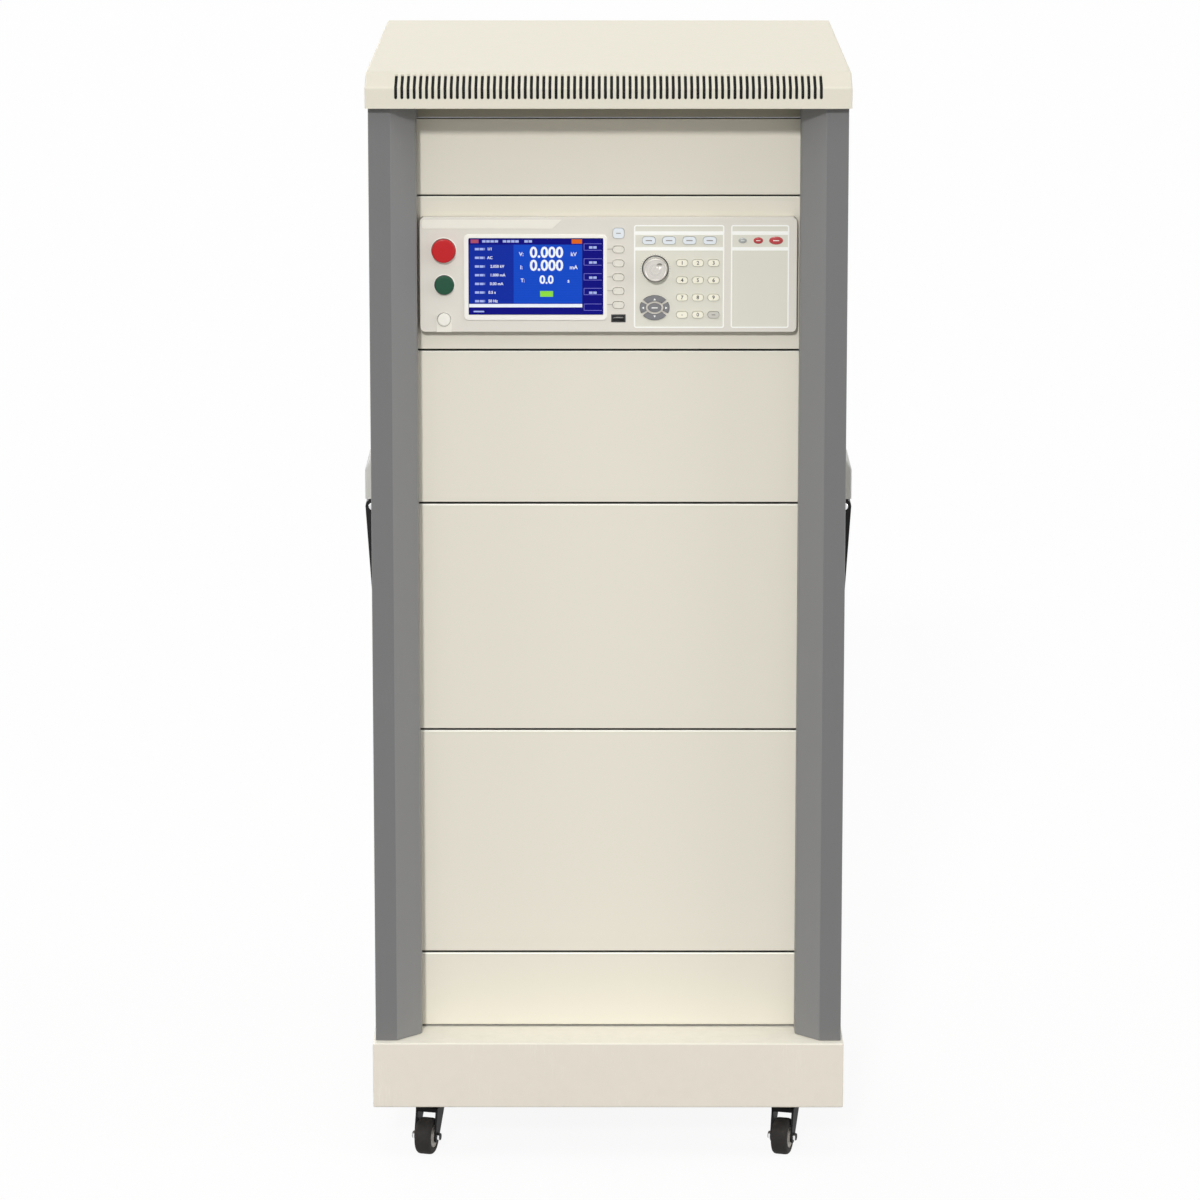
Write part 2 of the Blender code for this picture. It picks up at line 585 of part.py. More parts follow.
def build_pillar(name, side):
    """A front pillar: one folded sheet with a flat, a receding facet and a rounded inner corner."""
    facet_y = PILLAR_Y + PILLAR_FACET_DEPTH
    inner = PILLAR_OPENING / 2
    corner = [(inner + PILLAR_CORNER * (1 - math.sin(t)), facet_y + PILLAR_CORNER * (1 - math.cos(t)))
              for t in (math.radians(a) for a in (35.0, 65.0, 90.0))]
    path = [(SIDE_X, PANEL_Y - GAP), (SIDE_X, PILLAR_Y), (SIDE_X - PILLAR_FLAT, PILLAR_Y)]
    path += corner + [(inner, PANEL_Y - GAP)]
    outline = folded(path[::-1], SHEET)
    pillar = prism(name, [mirrored(outline, side)], WALL_BOTTOM, WALL_TOP)
    add_part(pillar, "grey_pillar")


def handle_outline(side):
    """The grip seen from the front: round at the pin, thinning towards its lower edge."""
    turns = [math.radians(a) for a in range(0, 181, 20)]
    top = [(HANDLE_PIN_X + HANDLE_KNUCKLE * math.cos(t), HANDLE_Z + HANDLE_KNUCKLE * math.sin(t))
           for t in turns]
    inner = HANDLE_PIN_X - HANDLE_KNUCKLE
    foot = HANDLE_Z - HANDLE_DROP
    return mirrored(top + [(inner, foot), (inner + HANDLE_FOOT, foot)], side)


def build_side(name, side):
    """A side panel with a return at the back, and the cap, ears and pin of its lifting handle."""
    path = [(SIDE_X - SIDE_RETURN, SIDE_BACK), (SIDE_X, SIDE_BACK), (SIDE_X, PANEL_Y)]
    outline = folded(path[::-1], SHEET)
    panel = prism(name, [mirrored(outline, side)], WALL_BOTTOM, WALL_TOP)
    root = SIDE_X - OVERLAP
    cap_low = HANDLE_Z + HANDLE_KNUCKLE + GAP
    cap_top = cap_low + HANDLE_CAP_HEIGHT
    cap = [(root, cap_low), (SIDE_X + HANDLE_REACH, cap_low),
           (SIDE_X + HANDLE_REACH, cap_top - HANDLE_CAP_SLOPE),
           (SIDE_X + HANDLE_REACH / 2.2, cap_top), (root, cap_top)]
    backward = HANDLE_LENGTH / 2
    ears = []
    for y in (-HANDLE_EAR_SPACING / 2, HANDLE_EAR_SPACING / 2):
        spans = sorted((side * root, side * (HANDLE_PIN_X + HANDLE_KNUCKLE / 2)))
        ears.append(((spans[0], y - HANDLE_EAR / 2, HANDLE_Z - HANDLE_KNUCKLE / 2),
                     (spans[1], y + HANDLE_EAR / 2, HANDLE_Z + HANDLE_KNUCKLE / 2)))
    head_radius, head_length = HANDLE_PIN_HEAD
    reach = backward + GAP
    pin = lathe(f"{name}_pin", [
        (0.0, reach + head_length), (head_radius, reach + head_length), (head_radius, reach),
        (HANDLE_PIN_RADIUS, reach), (HANDLE_PIN_RADIUS, -reach), (head_radius, -reach),
        (head_radius, -reach - head_length), (0.0, -reach - head_length)], 16,
        Matrix.Translation((side * HANDLE_PIN_X, 0.0, HANDLE_Z)) @ FORWARD)
    join(panel, prism(f"{name}_cap", [mirrored(cap, side)], -backward, backward, FORWARD),
         boxes(f"{name}_ears", *ears), pin)
    add_part(panel, "cream_panel")


def build_grip(name, side):
    """A lifting handle's grip, hanging from its pin, with a window for the fingers."""
    backward = HANDLE_LENGTH / 2
    grip = prism(name, [handle_outline(side)], -backward, backward, FORWARD)
    put_origin(grip, (side * HANDLE_PIN_X, 0.0, HANDLE_Z))
    low_x, high_x = sorted((side * (SIDE_X - CLEAR), side * (SIDE_X + HANDLE_REACH + CLEAR)))
    notch = HANDLE_EAR / 2 + GAP
    notches = boxes(f"{name}_notches", *(
        ((low_x, y - notch, HANDLE_Z - HANDLE_KNUCKLE * 0.8), (high_x, y + notch, HANDLE_Z + CLEAR + CLEAR))
        for y in (-HANDLE_EAR_SPACING / 2, HANDLE_EAR_SPACING / 2)))
    bore = rod(f"{name}_bore", HANDLE_PIN_RADIUS + GAP, -backward - CLEAR, backward + CLEAR,
               Matrix.Translation((side * HANDLE_PIN_X, 0.0, HANDLE_Z)) @ FORWARD)
    wide, tall = HANDLE_WINDOW
    middle = HANDLE_Z - HANDLE_WINDOW_DROP
    window = boxes(f"{name}_window", ((low_x, -wide / 2, middle - tall / 2),
                                      (high_x, wide / 2, middle + tall / 2)))
    cut(grip, notches, bore, window)
    add_part(grip, "black_plastic")


def build_panels():
    """The plain rack panels, and the plate round the instrument."""
    top = PANELS_TOP
    for name, units in PANEL_STACK:
        low, high = top - units * RACK_UNIT + PANEL_SEAM / 2, top - PANEL_SEAM / 2
        middle = (low + high) / 2
        outlines = [rectangle((0.0, middle), (PANEL_WIDTH, high - low))]
        hole_x = PANEL_WIDTH / 2 - PANEL_SCREW_INSET
        hole_z = (high - low) / 2 - PANEL_SCREW_INSET
        outlines += [ellipse((x, middle + z), PANEL_SCREW_SLOT, sides=10)
                     for x in (-hole_x, hole_x) for z in (-hole_z, hole_z)]
        if name == "instrument_surround":
            outlines.append(rectangle((0.0, INSTRUMENT_Z), (CUT_OUT_WIDTH, CUT_OUT_HEIGHT)))
        add_part(prism(name, outlines, -PANEL_BACK, -PANEL_Y, FORWARD), "cream_panel")
        top -= units * RACK_UNIT


def build_door():
    """The rear door: a louvred tray that turns on two pins, one in the hood and one in the plinth."""
    door = boxes("rear_door", ((-DOOR_X, DOOR_INNER, DOOR_BOTTOM), (DOOR_X, DOOR_OUTER, DOOR_TOP)))
    put_origin(door, (PIVOT_X, PIVOT_Y, DOOR_MIDDLE))
    hollow = boxes("door_hollow", ((SHEET - DOOR_X, DOOR_INNER - CLEAR, DOOR_BOTTOM + SHEET),
                                   (DOOR_X - SHEET, DOOR_OUTER - SHEET, DOOR_TOP - SHEET)))
    wide, tall = LOUVRE_SIZE
    rows = [zone + LOUVRE_PITCH * (i - (LOUVRE_COUNT - 1) / 2)
            for zone in (-LOUVRE_ZONE_OFFSET, LOUVRE_ZONE_OFFSET) for i in range(LOUVRE_COUNT)]
    louvres = boxes("door_louvres", *(
        ((x - wide / 2, DOOR_OUTER - SHEET - CLEAR, DOOR_MIDDLE + row - tall / 2),
         (x + wide / 2, DOOR_OUTER + CLEAR, DOOR_MIDDLE + row + tall / 2))
        for x in (-LOUVRE_COLUMN, LOUVRE_COLUMN) for row in rows))
    keyhole = rod("latch_hole", LATCH_SHAFT_RADIUS + GAP, -DOOR_OUTER - CLEAR, -DOOR_INNER,
                  Matrix.Translation((LATCH_X, 0.0, DOOR_MIDDLE)) @ FORWARD)
    at_pivot = Matrix.Translation((PIVOT_X, PIVOT_Y, 0.0))
    cut(door, hollow, louvres, keyhole)
    join(door, rod("door_upper_pin", PIVOT_RADIUS, DOOR_TOP - SHEET / 2, DOOR_TOP + PIVOT_REACH, at_pivot),
         rod("door_lower_pin", PIVOT_RADIUS, DOOR_BOTTOM - PIVOT_REACH, DOOR_BOTTOM + SHEET / 2, at_pivot))
    add_part(door, "cream_panel")


def build_latch():
    """The door's quarter-turn latch, unlocked: turning it puts its cam behind the side panel's return."""
    outer = -DOOR_OUTER - GAP
    cam_width, cam_reach, cam_thick = LATCH_CAM
    cam_front = SIDE_BACK - SHEET - 2 * GAP
    back = -(cam_front - cam_thick)
    latch = lathe("door_latch", [
        (0.0, back), (LATCH_SHAFT_RADIUS, back), (LATCH_SHAFT_RADIUS, outer), (LATCH_RADIUS, outer),
        (LATCH_RADIUS, outer - LATCH_PLATE), (0.0, outer - LATCH_PLATE)], 20,
        Matrix.Translation((LATCH_X, 0.0, DOOR_MIDDLE)) @ FORWARD)
    long, thin, high = LATCH_GRIP
    face = DOOR_OUTER + GAP + LATCH_PLATE
    grip = boxes("latch_grip", ((LATCH_X - thin / 2, face - OVERLAP, DOOR_MIDDLE - long / 2),
                                (LATCH_X + thin / 2, face + high, DOOR_MIDDLE + long / 2)))
    cam = boxes("latch_cam", ((LATCH_X - cam_width / 2, cam_front - cam_thick + OVERLAP / 2,
                               DOOR_MIDDLE - cam_width / 2),
                              (LATCH_X + cam_width / 2, cam_front, DOOR_MIDDLE + cam_reach)))
    join(latch, grip, cam)
    add_part(latch, "black_plastic")


def build_key(name, shape, slot, proud=KEY_PROUD, lip=KEY_LIP):
    """A push key: its cap stands out of the bezel, and a wider flange holds it from behind."""
    seat = BEZEL_REAR_FACE + GAP
    (u, v) = [sum(values) / len(values) for values in zip(*shape())]
    cap = prism(name, [shape()], -(seat + KEY_FLANGE / 2), proud - BEZEL_FRONT, FORWARD)
    put_origin(cap, (u, BEZEL_FRONT, v))
    join(cap, prism(f"{name}_flange", [shape(grow=lip)], -(seat + KEY_FLANGE), -seat, FORWARD))
    add_part(cap, slot)


def build_round_button(name, at, radius, proud, slot):
    """A round push button with a crowned face and a flange behind the bezel."""
    u, v = console(at)
    seat = -(BEZEL_REAR_FACE + GAP)
    front = proud - BEZEL_FRONT
    edge = radius * 0.12
    button = lathe(name, [
        (0.0, front), (radius * 0.6, front - edge * 0.25), (radius - edge, front - edge * 0.6),
        (radius, front - edge * 1.6), (radius, seat), (radius + KEY_LIP, seat),
        (radius + KEY_LIP, seat - KEY_FLANGE), (0.0, seat - KEY_FLANGE)],
        24, Matrix.Translation((u, 0.0, v)) @ FORWARD)
    button.matrix_world = Matrix.Translation((u, BEZEL_FRONT, v)) @ FORWARD
    button.data.transform(Matrix.Translation((0.0, 0.0, BEZEL_FRONT)))
    add_part(button, slot)


def build_knob():
    """The rotary knob: a turned cap with a finger dimple, on a shaft through the bezel."""
    u, v = console(KNOB_AT)
    base = -BEZEL_FRONT + GAP
    front = KNOB_PROUD - BEZEL_FRONT
    tail = -(BEZEL_REAR_FACE + GAP)
    frame = Matrix.Translation((u, 0.0, v)) @ FORWARD
    knob = lathe("rotary_knob", [
        (0.0, front - KNOB_RIM), (KNOB_RADIUS * 0.8, front - KNOB_RIM), (KNOB_RADIUS * 0.84, front),
        (KNOB_RADIUS * 0.9, front), (KNOB_RADIUS * 0.96, front - 2 * KNOB_RIM),
        (KNOB_RADIUS, base + 2 * KNOB_RIM),
        (KNOB_RADIUS, base),
        (KNOB_SHAFT_RADIUS, base), (KNOB_SHAFT_RADIUS, tail),
        (KNOB_SHAFT_RADIUS * 2, tail), (KNOB_SHAFT_RADIUS * 2, tail - KEY_FLANGE), (0.0, tail - KEY_FLANGE)],
        32, frame)
    knob.matrix_world = Matrix.Translation((u, BEZEL_FRONT, v)) @ FORWARD
    knob.data.transform(Matrix.Translation((0.0, 0.0, BEZEL_FRONT)))
    mesh = bpy.data.meshes.new("knob_dimple")
    bm = bmesh.new()
    bmesh.ops.create_uvsphere(bm, u_segments=16, v_segments=10, radius=KNOB_DIMPLE_RADIUS)
    rise = KNOB_DIMPLE_RADIUS - KNOB_DIMPLE_DEPTH - KNOB_RIM
    bm.transform(Matrix.Translation(
        (u + KNOB_DIMPLE_OFFSET * 0.75, -front - rise, v + KNOB_DIMPLE_OFFSET * 0.66)))
    bm.to_mesh(mesh)
    bm.free()
    cut(knob, bpy.data.objects.new("knob_dimple", mesh))
    add_part(knob, "knob_metal")


def key_shapes():
    """Every flat key, as name, outline function, material slot and flange width."""
    lock = partial(key_outline, console((SOFT_KEY_X, LOCK_KEY_Z)), LOCK_KEY_SIZE)
    found = [("lock_key", lock, "white_key", KEY_LIP)]
    for i in range(SOFT_KEY_COUNT):
        place = console((SOFT_KEY_X, SOFT_KEY_TOP - i * SOFT_KEY_PITCH))
        found.append((f"soft_key_{i + 1}", partial(key_outline, place, SOFT_KEY_SIZE), "white_key", KEY_LIP))
    for i in range(MENU_KEY_COUNT):
        place = console((MENU_KEY_LEFT + i * MENU_KEY_PITCH, MENU_KEY_Z))
        found.append((f"menu_key_{i + 1}", partial(key_outline, place, MENU_KEY_SIZE), "white_key", KEY_LIP))
    for i, digit in enumerate(NUMBER_KEY_NAMES):
        row, column = divmod(i, 3)
        place = console((NUMBER_KEY_LEFT + column * NUMBER_KEY_PITCH[0],
                         NUMBER_KEY_TOP - row * NUMBER_KEY_PITCH[1]))
        shape = partial(key_outline, place, NUMBER_KEY_SIZE)
        found.append((f"number_key_{digit}", shape, "cream_key", KEY_LIP))
    for way, middle, half in ARROW_KEYS:
        found.append((f"arrow_key_{way}", partial(pad_sector, middle, half), "dark_key", ARROW_LIP))
    enter = partial(ellipse, console(ARROW_PAD_AT), ENTER_KEY_SIZE)
    found.append(("enter_key", enter, "dark_key", ARROW_LIP))
    return found


def build_instrument():
    """The instrument: its bezel and every control, the screen, the USB port and the case behind."""
    keys = key_shapes()
    for name, shape, slot, lip in keys:
        build_key(name, shape, slot, lip=lip)
    for name, at, radius, proud, slot in (
        ("stop_button", STOP_AT, STOP_RADIUS, STOP_PROUD, "red_button"),
        ("start_button", START_AT, START_RADIUS, START_PROUD, "green_button"),
        ("power_button", POWER_AT, POWER_RADIUS, POWER_PROUD, "white_key"),
    ):
        build_round_button(name, at, radius, proud, slot)
    build_knob()

    screen = partial(rectangle, console(SCREEN_AT), SCREEN_SIZE)
    usb = partial(rectangle, console(USB_AT), USB_SIZE)
    holes = [shape(grow=GAP) for _, shape, _, _ in keys] + [screen(grow=GAP), usb(grow=GAP)]
    holes += [ellipse(console(at), (2 * radius, 2 * radius), GAP)
              for at, radius in ((STOP_AT, STOP_RADIUS), (START_AT, START_RADIUS), (POWER_AT, POWER_RADIUS),
                                 (KNOB_AT, KNOB_SHAFT_RADIUS))]
    outer = rounded((0.0, INSTRUMENT_Z), (BEZEL_WIDTH, BEZEL_HEIGHT), BEZEL_CORNER)
    bezel = prism("instrument_bezel", [outer], GAP - PANEL_Y, -BEZEL_FRONT, FORWARD)
    cut(bezel, prism("bezel_hollow", [inset(outer, BEZEL_FACE)], -PANEL_Y - CLEAR, -BEZEL_REAR_FACE, FORWARD),
        prisms("bezel_holes", holes, -PANEL_Y, CLEAR - BEZEL_FRONT, FORWARD))
    add_part(bezel, "bezel_grey")

    seat = BEZEL_REAR_FACE + GAP
    glass = prism("display_screen", [screen()], -(seat + SCREEN_GLASS / 2), -(BEZEL_FRONT + SCREEN_SINK),
                  FORWARD)
    join(glass, prism("screen_flange", [screen(grow=KEY_LIP)], -(seat + SCREEN_GLASS), -seat, FORWARD))
    add_part(glass, "screen_glass")

    port = prism("usb_port", [usb()], -(seat + USB_DEPTH), USB_PROUD - BEZEL_FRONT, FORWARD)
    join(port, prism("usb_flange", [usb(grow=KEY_LIP)], -(seat + KEY_FLANGE), -seat, FORWARD))
    mouth = [rectangle(console(USB_AT), USB_MOUTH), rectangle(console(USB_AT), USB_TONGUE)]
    cut(port, prism("usb_mouth", mouth, -(seat + USB_DEPTH - KEY_FLANGE), CLEAR - BEZEL_FRONT, FORWARD))
    add_part(port, "black_plastic")

    half, rear = CASE_WIDTH / 2, CASE_FRONT + CASE_DEPTH
    case = boxes("instrument_case", ((-half, CASE_FRONT, CASE_BOTTOM),
                                     (half, rear, CASE_BOTTOM + CASE_HEIGHT)))
    hollow = boxes("case_hollow", ((CASE_SHEET - half, CASE_FRONT - CLEAR, CASE_BOTTOM + CASE_SHEET),
                                   (half - CASE_SHEET, rear - CASE_SHEET,
                                    CASE_BOTTOM + CASE_HEIGHT - CASE_SHEET)))
    wide, tall = CASE_VENT
    first = -CASE_VENT_PITCH * (CASE_VENTS - 1) / 2
    vents = boxes("case_vents", *(
        ((first + i * CASE_VENT_PITCH - wide / 2, rear - CLEAR, INSTRUMENT_Z - tall / 2),
         (first + i * CASE_VENT_PITCH + wide / 2, rear + CLEAR, INSTRUMENT_Z + tall / 2))
        for i in range(CASE_VENTS)))
    cut(case, hollow, vents)
    add_part(case, "zinc_frame")


def build_caster(place, x, y):
    """A swivel caster: a fork that turns on its kingpin, and a wheel that rolls on the fork's axle."""
    frame = Matrix.Translation((x, y, 0.0)) @ Matrix.Rotation(CASTER_YAW, 4, "Z")
    swivel_top = PLINTH_BOTTOM - CASTER_PLATE[2] - OVERLAP
    nut = PLINTH_BOTTOM + PLINTH_SHEET + OVERLAP
    fork = lathe(f"caster_fork_{place}", [
        (0.0, nut + KINGPIN_NUT_HEIGHT), (KINGPIN_NUT_RADIUS, nut + KINGPIN_NUT_HEIGHT),
        (KINGPIN_NUT_RADIUS, nut),
        (KINGPIN_RADIUS, nut), (KINGPIN_RADIUS, swivel_top), (SWIVEL_RADIUS, swivel_top),
        (SWIVEL_RADIUS, swivel_top - SWIVEL_RIM), (SWIVEL_RADIUS * 0.7, FORK_TOP - OVERLAP),
        (0.0, FORK_TOP - OVERLAP)],
        24, frame)
    inner = HUB_WIDTH / 2 + GAP
    outer = inner + FORK_SHEET
    length, thick = FORK_BRIDGE
    bridge = boxes(f"fork_bridge_{place}", ((-outer, -length / 2, FORK_TOP - thick),
                                            (outer, length / 2, FORK_TOP)))
    turns = [math.radians(-180.0 + a) for a in range(0, 181, 30)]
    eye = [(CASTER_TRAIL + FORK_EYE_RADIUS * math.cos(t), WHEEL_RADIUS + FORK_EYE_RADIUS * math.sin(t))
           for t in turns]
    top = FORK_TOP - OVERLAP
    arm = eye + [(length / 2 - OVERLAP, top), (OVERLAP - length / 2, top)]
    arms = [prism(f"fork_arm_{place}_{i}", [arm], low, high, frame @ SIDEWAYS)
            for i, (low, high) in enumerate(((-outer + OVERLAP / 4, -inner), (inner, outer - OVERLAP / 4)))]
    end = outer - OVERLAP + AXLE_NUT_LENGTH
    at_axle = frame @ Matrix.Translation((0.0, CASTER_TRAIL, WHEEL_RADIUS)) @ SIDEWAYS
    axle = lathe(f"fork_axle_{place}", [
        (0.0, end), (AXLE_NUT_RADIUS, end), (AXLE_NUT_RADIUS, outer - OVERLAP),
        (AXLE_RADIUS, outer - OVERLAP), (AXLE_RADIUS, OVERLAP - outer),
        (AXLE_NUT_RADIUS, OVERLAP - outer), (AXLE_NUT_RADIUS, -end), (0.0, -end)],
        12, at_axle)
    bridge.data.transform(frame)
    join(fork, bridge, *arms, axle)
    add_part(fork, "fork_black")

    round_up = 1.0 / math.cos(math.pi / WHEEL_SIDES)
    half, hub, bore = TYRE_WIDTH / 2, HUB_WIDTH / 2, AXLE_RADIUS + GAP
    shoulder = WHEEL_RADIUS - 3.0 * MM
    profile = [(bore, hub), (HUB_RADIUS * 0.45, hub), (HUB_RADIUS * 0.55, half - HUB_RECESS),
               (HUB_RADIUS, half - HUB_RECESS),
               (HUB_RADIUS + 1.0 * MM, half), (shoulder, half), (WHEEL_RADIUS * round_up, half - 4.0 * MM)]
    profile += [(radius, -height) for radius, height in reversed(profile)]
    down = at_axle @ Matrix.Rotation(-math.pi / 2 + math.pi / WHEEL_SIDES, 4, "Z")
    wheel = lathe(f"caster_wheel_{place}", profile, WHEEL_SIDES, down, closed=True)
    add_part(wheel, "tyre_rubber")


def main():
    """Builds the whole tester."""
    build_hood()
    build_plinth()
    build_rack_frame()
    for name, side in (("left", -1), ("right", 1)):
        build_pillar(f"{name}_pillar", side)
        build_side(f"{name}_side_panel", side)
        build_grip(f"{name}_handle_grip", side)
    build_panels()
    build_door()
    build_latch()
    build_instrument()
    for place, x, y in caster_places():
        build_caster(place, x, y)


main()
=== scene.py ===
"""Looks of the electrical safety tester: a rack cabinet on casters with a rack instrument near its top.

Lengths are in metres, +Z is up and the front faces -Y. Each sub-assembly is a class whose fields are its
sizes. Its build method models the pieces with Blender's own operators, dresses them and lets them ride.
"""
import json
import logging
import math
from dataclasses import dataclass, field
from enum import Enum
from typing import Callable, Optional, Sequence

import bpy
from mathutils import Matrix, Vector

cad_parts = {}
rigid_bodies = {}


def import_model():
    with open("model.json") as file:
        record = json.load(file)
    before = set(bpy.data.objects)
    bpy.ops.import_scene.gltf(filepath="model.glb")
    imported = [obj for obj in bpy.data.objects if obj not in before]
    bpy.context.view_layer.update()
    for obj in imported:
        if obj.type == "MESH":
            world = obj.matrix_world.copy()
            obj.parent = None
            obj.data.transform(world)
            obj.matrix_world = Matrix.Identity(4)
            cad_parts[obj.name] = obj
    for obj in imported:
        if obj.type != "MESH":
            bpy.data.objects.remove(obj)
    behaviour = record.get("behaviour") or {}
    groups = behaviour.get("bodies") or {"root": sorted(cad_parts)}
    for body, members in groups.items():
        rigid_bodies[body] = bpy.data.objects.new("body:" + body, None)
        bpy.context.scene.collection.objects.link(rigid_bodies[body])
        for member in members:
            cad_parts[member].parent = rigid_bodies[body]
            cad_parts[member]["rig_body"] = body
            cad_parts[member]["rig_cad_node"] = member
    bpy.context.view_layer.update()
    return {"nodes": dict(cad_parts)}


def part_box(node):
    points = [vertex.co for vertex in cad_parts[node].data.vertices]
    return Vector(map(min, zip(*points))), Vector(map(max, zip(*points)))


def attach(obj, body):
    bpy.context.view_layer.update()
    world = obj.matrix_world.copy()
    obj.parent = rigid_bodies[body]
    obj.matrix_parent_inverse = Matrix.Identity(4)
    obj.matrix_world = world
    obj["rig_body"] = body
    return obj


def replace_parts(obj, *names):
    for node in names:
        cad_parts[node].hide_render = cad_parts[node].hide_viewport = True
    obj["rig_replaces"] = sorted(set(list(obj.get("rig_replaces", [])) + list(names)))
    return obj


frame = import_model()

LOG = logging.getLogger("safety_tester")
MM = 0.001
Colour = tuple[float, float, float]
Test = Callable[[Vector, Vector], bool]
Node, Tree, Socket = bpy.types.Node, bpy.types.NodeTree, bpy.types.NodeSocket
Sockets = tuple[Socket, Socket, Optional[Socket]]


class Side(Enum):
    """The cabinet's two sides, with the sign of X."""

    LEFT = -1
    RIGHT = 1

    @property
    def word(self) -> str:
        """The side's name as the pieces use it."""
        return self.name.lower()


class Cut(Enum):
    """What a second shape does to the first."""

    AWAY = "DIFFERENCE"
    ON = "UNION"
    WITHIN = "INTERSECT"


def tone(code: str) -> Colour:
    """A colour written as six hexadecimal digits, as linear values.

    Args:
        code: red, green and blue as a screen shows them.

    Returns:
        The three linear values.
    """
    screen = [int(code[i:i + 2], 16) / 255 for i in (0, 2, 4)]
    return tuple(v / 12.92 if v <= 0.04045 else ((v + 0.055) / 1.055) ** 2.4 for v in screen)


# Node groups: effects that several finishes share


@dataclass
class Wiring:
    """Adds nodes to one tree and links them.

    Args:
        tree: the node tree that is wired.
    """

    tree: Tree

    def add(self, kind: str, props: Optional[dict] = None, **inputs: object) -> Node:
        """Adds a node.

        Args:
            kind: the node's type.
            props: the node's own settings.
            **inputs: a value or a socket for each named input; iN means the input at place N.

        Returns:
            The new node.
        """
        node = self.tree.nodes.new(kind)
        for name, value in (props or {}).items():
            setattr(node, name, value)
        for name, value in inputs.items():
            place = int(name[1:]) if name[0] == "i" and name[1:].isdigit() else name.replace("_", " ")
            if isinstance(value, Socket):
                self.tree.links.new(value, node.inputs[place])
            else:
                node.inputs[place].default_value = value
        return node

    def sum(self, operation: str, first: object, second: object = 0.0, clamp: bool = False) -> Socket:
        """Arithmetic on two values.

        Args:
            operation: what is done with them.
            first: a number or a socket.
            second: a number or a socket.
            clamp: keeps the result between 0 and 1.

        Returns:
            The socket with the result.
        """
        return self.add("ShaderNodeMath", {"operation": operation, "use_clamp": clamp}, i0=first, i1=second).outputs[0]

    def vector(self, operation: str, first: object, second: object = (0.0, 0.0, 0.0)) -> Socket:
        """Arithmetic on two vectors.

        Args:
            operation: what is done with them.
            first: a vector or a socket.
            second: a vector or a socket.

        Returns:
            The socket with the result, a value for LENGTH.
        """
        node = self.add("ShaderNodeVectorMath", {"operation": operation}, i0=first, i1=second)
        return node.outputs["Value" if operation == "LENGTH" else "Vector"]

    def place(self) -> Socket:
        """The point on the piece, in the piece's own space."""
        return self.add("ShaderNodeTexCoord").outputs["Object"]

    def seen(self) -> Socket:
        """1 where the camera, a mirror or clear glass sees it, 0 where it only gives light."""
        ray = self.add("ShaderNodeLightPath")
        return self.sum("MAXIMUM", ray.outputs["Is Camera Ray"], self.sum(
            "MAXIMUM", ray.outputs["Is Glossy Ray"], ray.outputs["Is Transmission Ray"]))

    def noise(self, scale: object, detail: float, at: Optional[Socket] = None,
              roughness: float = 0.5) -> Socket:
        """Cloudy noise.

        Args:
            scale: waves for each metre, a number or a socket.
            detail: how many finer layers it has.
            at: where it is read, or None for the piece's own space.
            roughness: the strength of the finer layers.

        Returns:
            The socket with the noise, from 0 to 1.
        """
        return self.add("ShaderNodeTexNoise", None, Vector=at or self.place(), Scale=scale, Detail=detail,
                        Roughness=roughness).outputs["Fac"]

    def ramp(self, value: object, low: float, high: float, to_low: float = 0.0,
             to_high: float = 1.0) -> Socket:
        """Spreads a value from one range onto another, with soft ends.

        Args:
            value: the socket that is read.
            low: the value that gives to_low.
            high: the value that gives to_high.
            to_low: the first result.
            to_high: the last result.

        Returns:
            The socket with the result.
        """
        node = self.add("ShaderNodeMapRange", {"interpolation_type": "SMOOTHSTEP"}, Value=value)
        for place, amount in ((1, low), (2, high), (3, to_low), (4, to_high)):
            node.inputs[place].default_value = amount
        return node.outputs[0]

    def mix(self, factor: object, first: object, second: object, blend: str = "MIX") -> Socket:
        """Mixes two colours.

        Args:
            factor: how much of the second, a number or a socket.
            first: a colour or a socket.
            second: a colour or a socket.
            blend: how they are mixed.

        Returns:
            The socket with the colour.
        """
        node = self.add("ShaderNodeMix", {"data_type": "RGBA", "blend_type": blend}, i0=factor)
        for place, colour in ((6, first), (7, second)):
            if isinstance(colour, Socket):
                self.tree.links.new(colour, node.inputs[place])
            else:
                node.inputs[place].default_value = (*colour[:3], 1.0)
        return node.outputs[2]


class Effect(Enum):
    """The shared surface effects, each one node group."""

    GRAIN = "paint_and_mould_grain"
    RUB = "rubbed_edges"
    DUST = "settled_dust"
    SCUFF = "fine_scuffs"
    RINGS = "turned_rings"
    SPANGLE = "zinc_spangle"


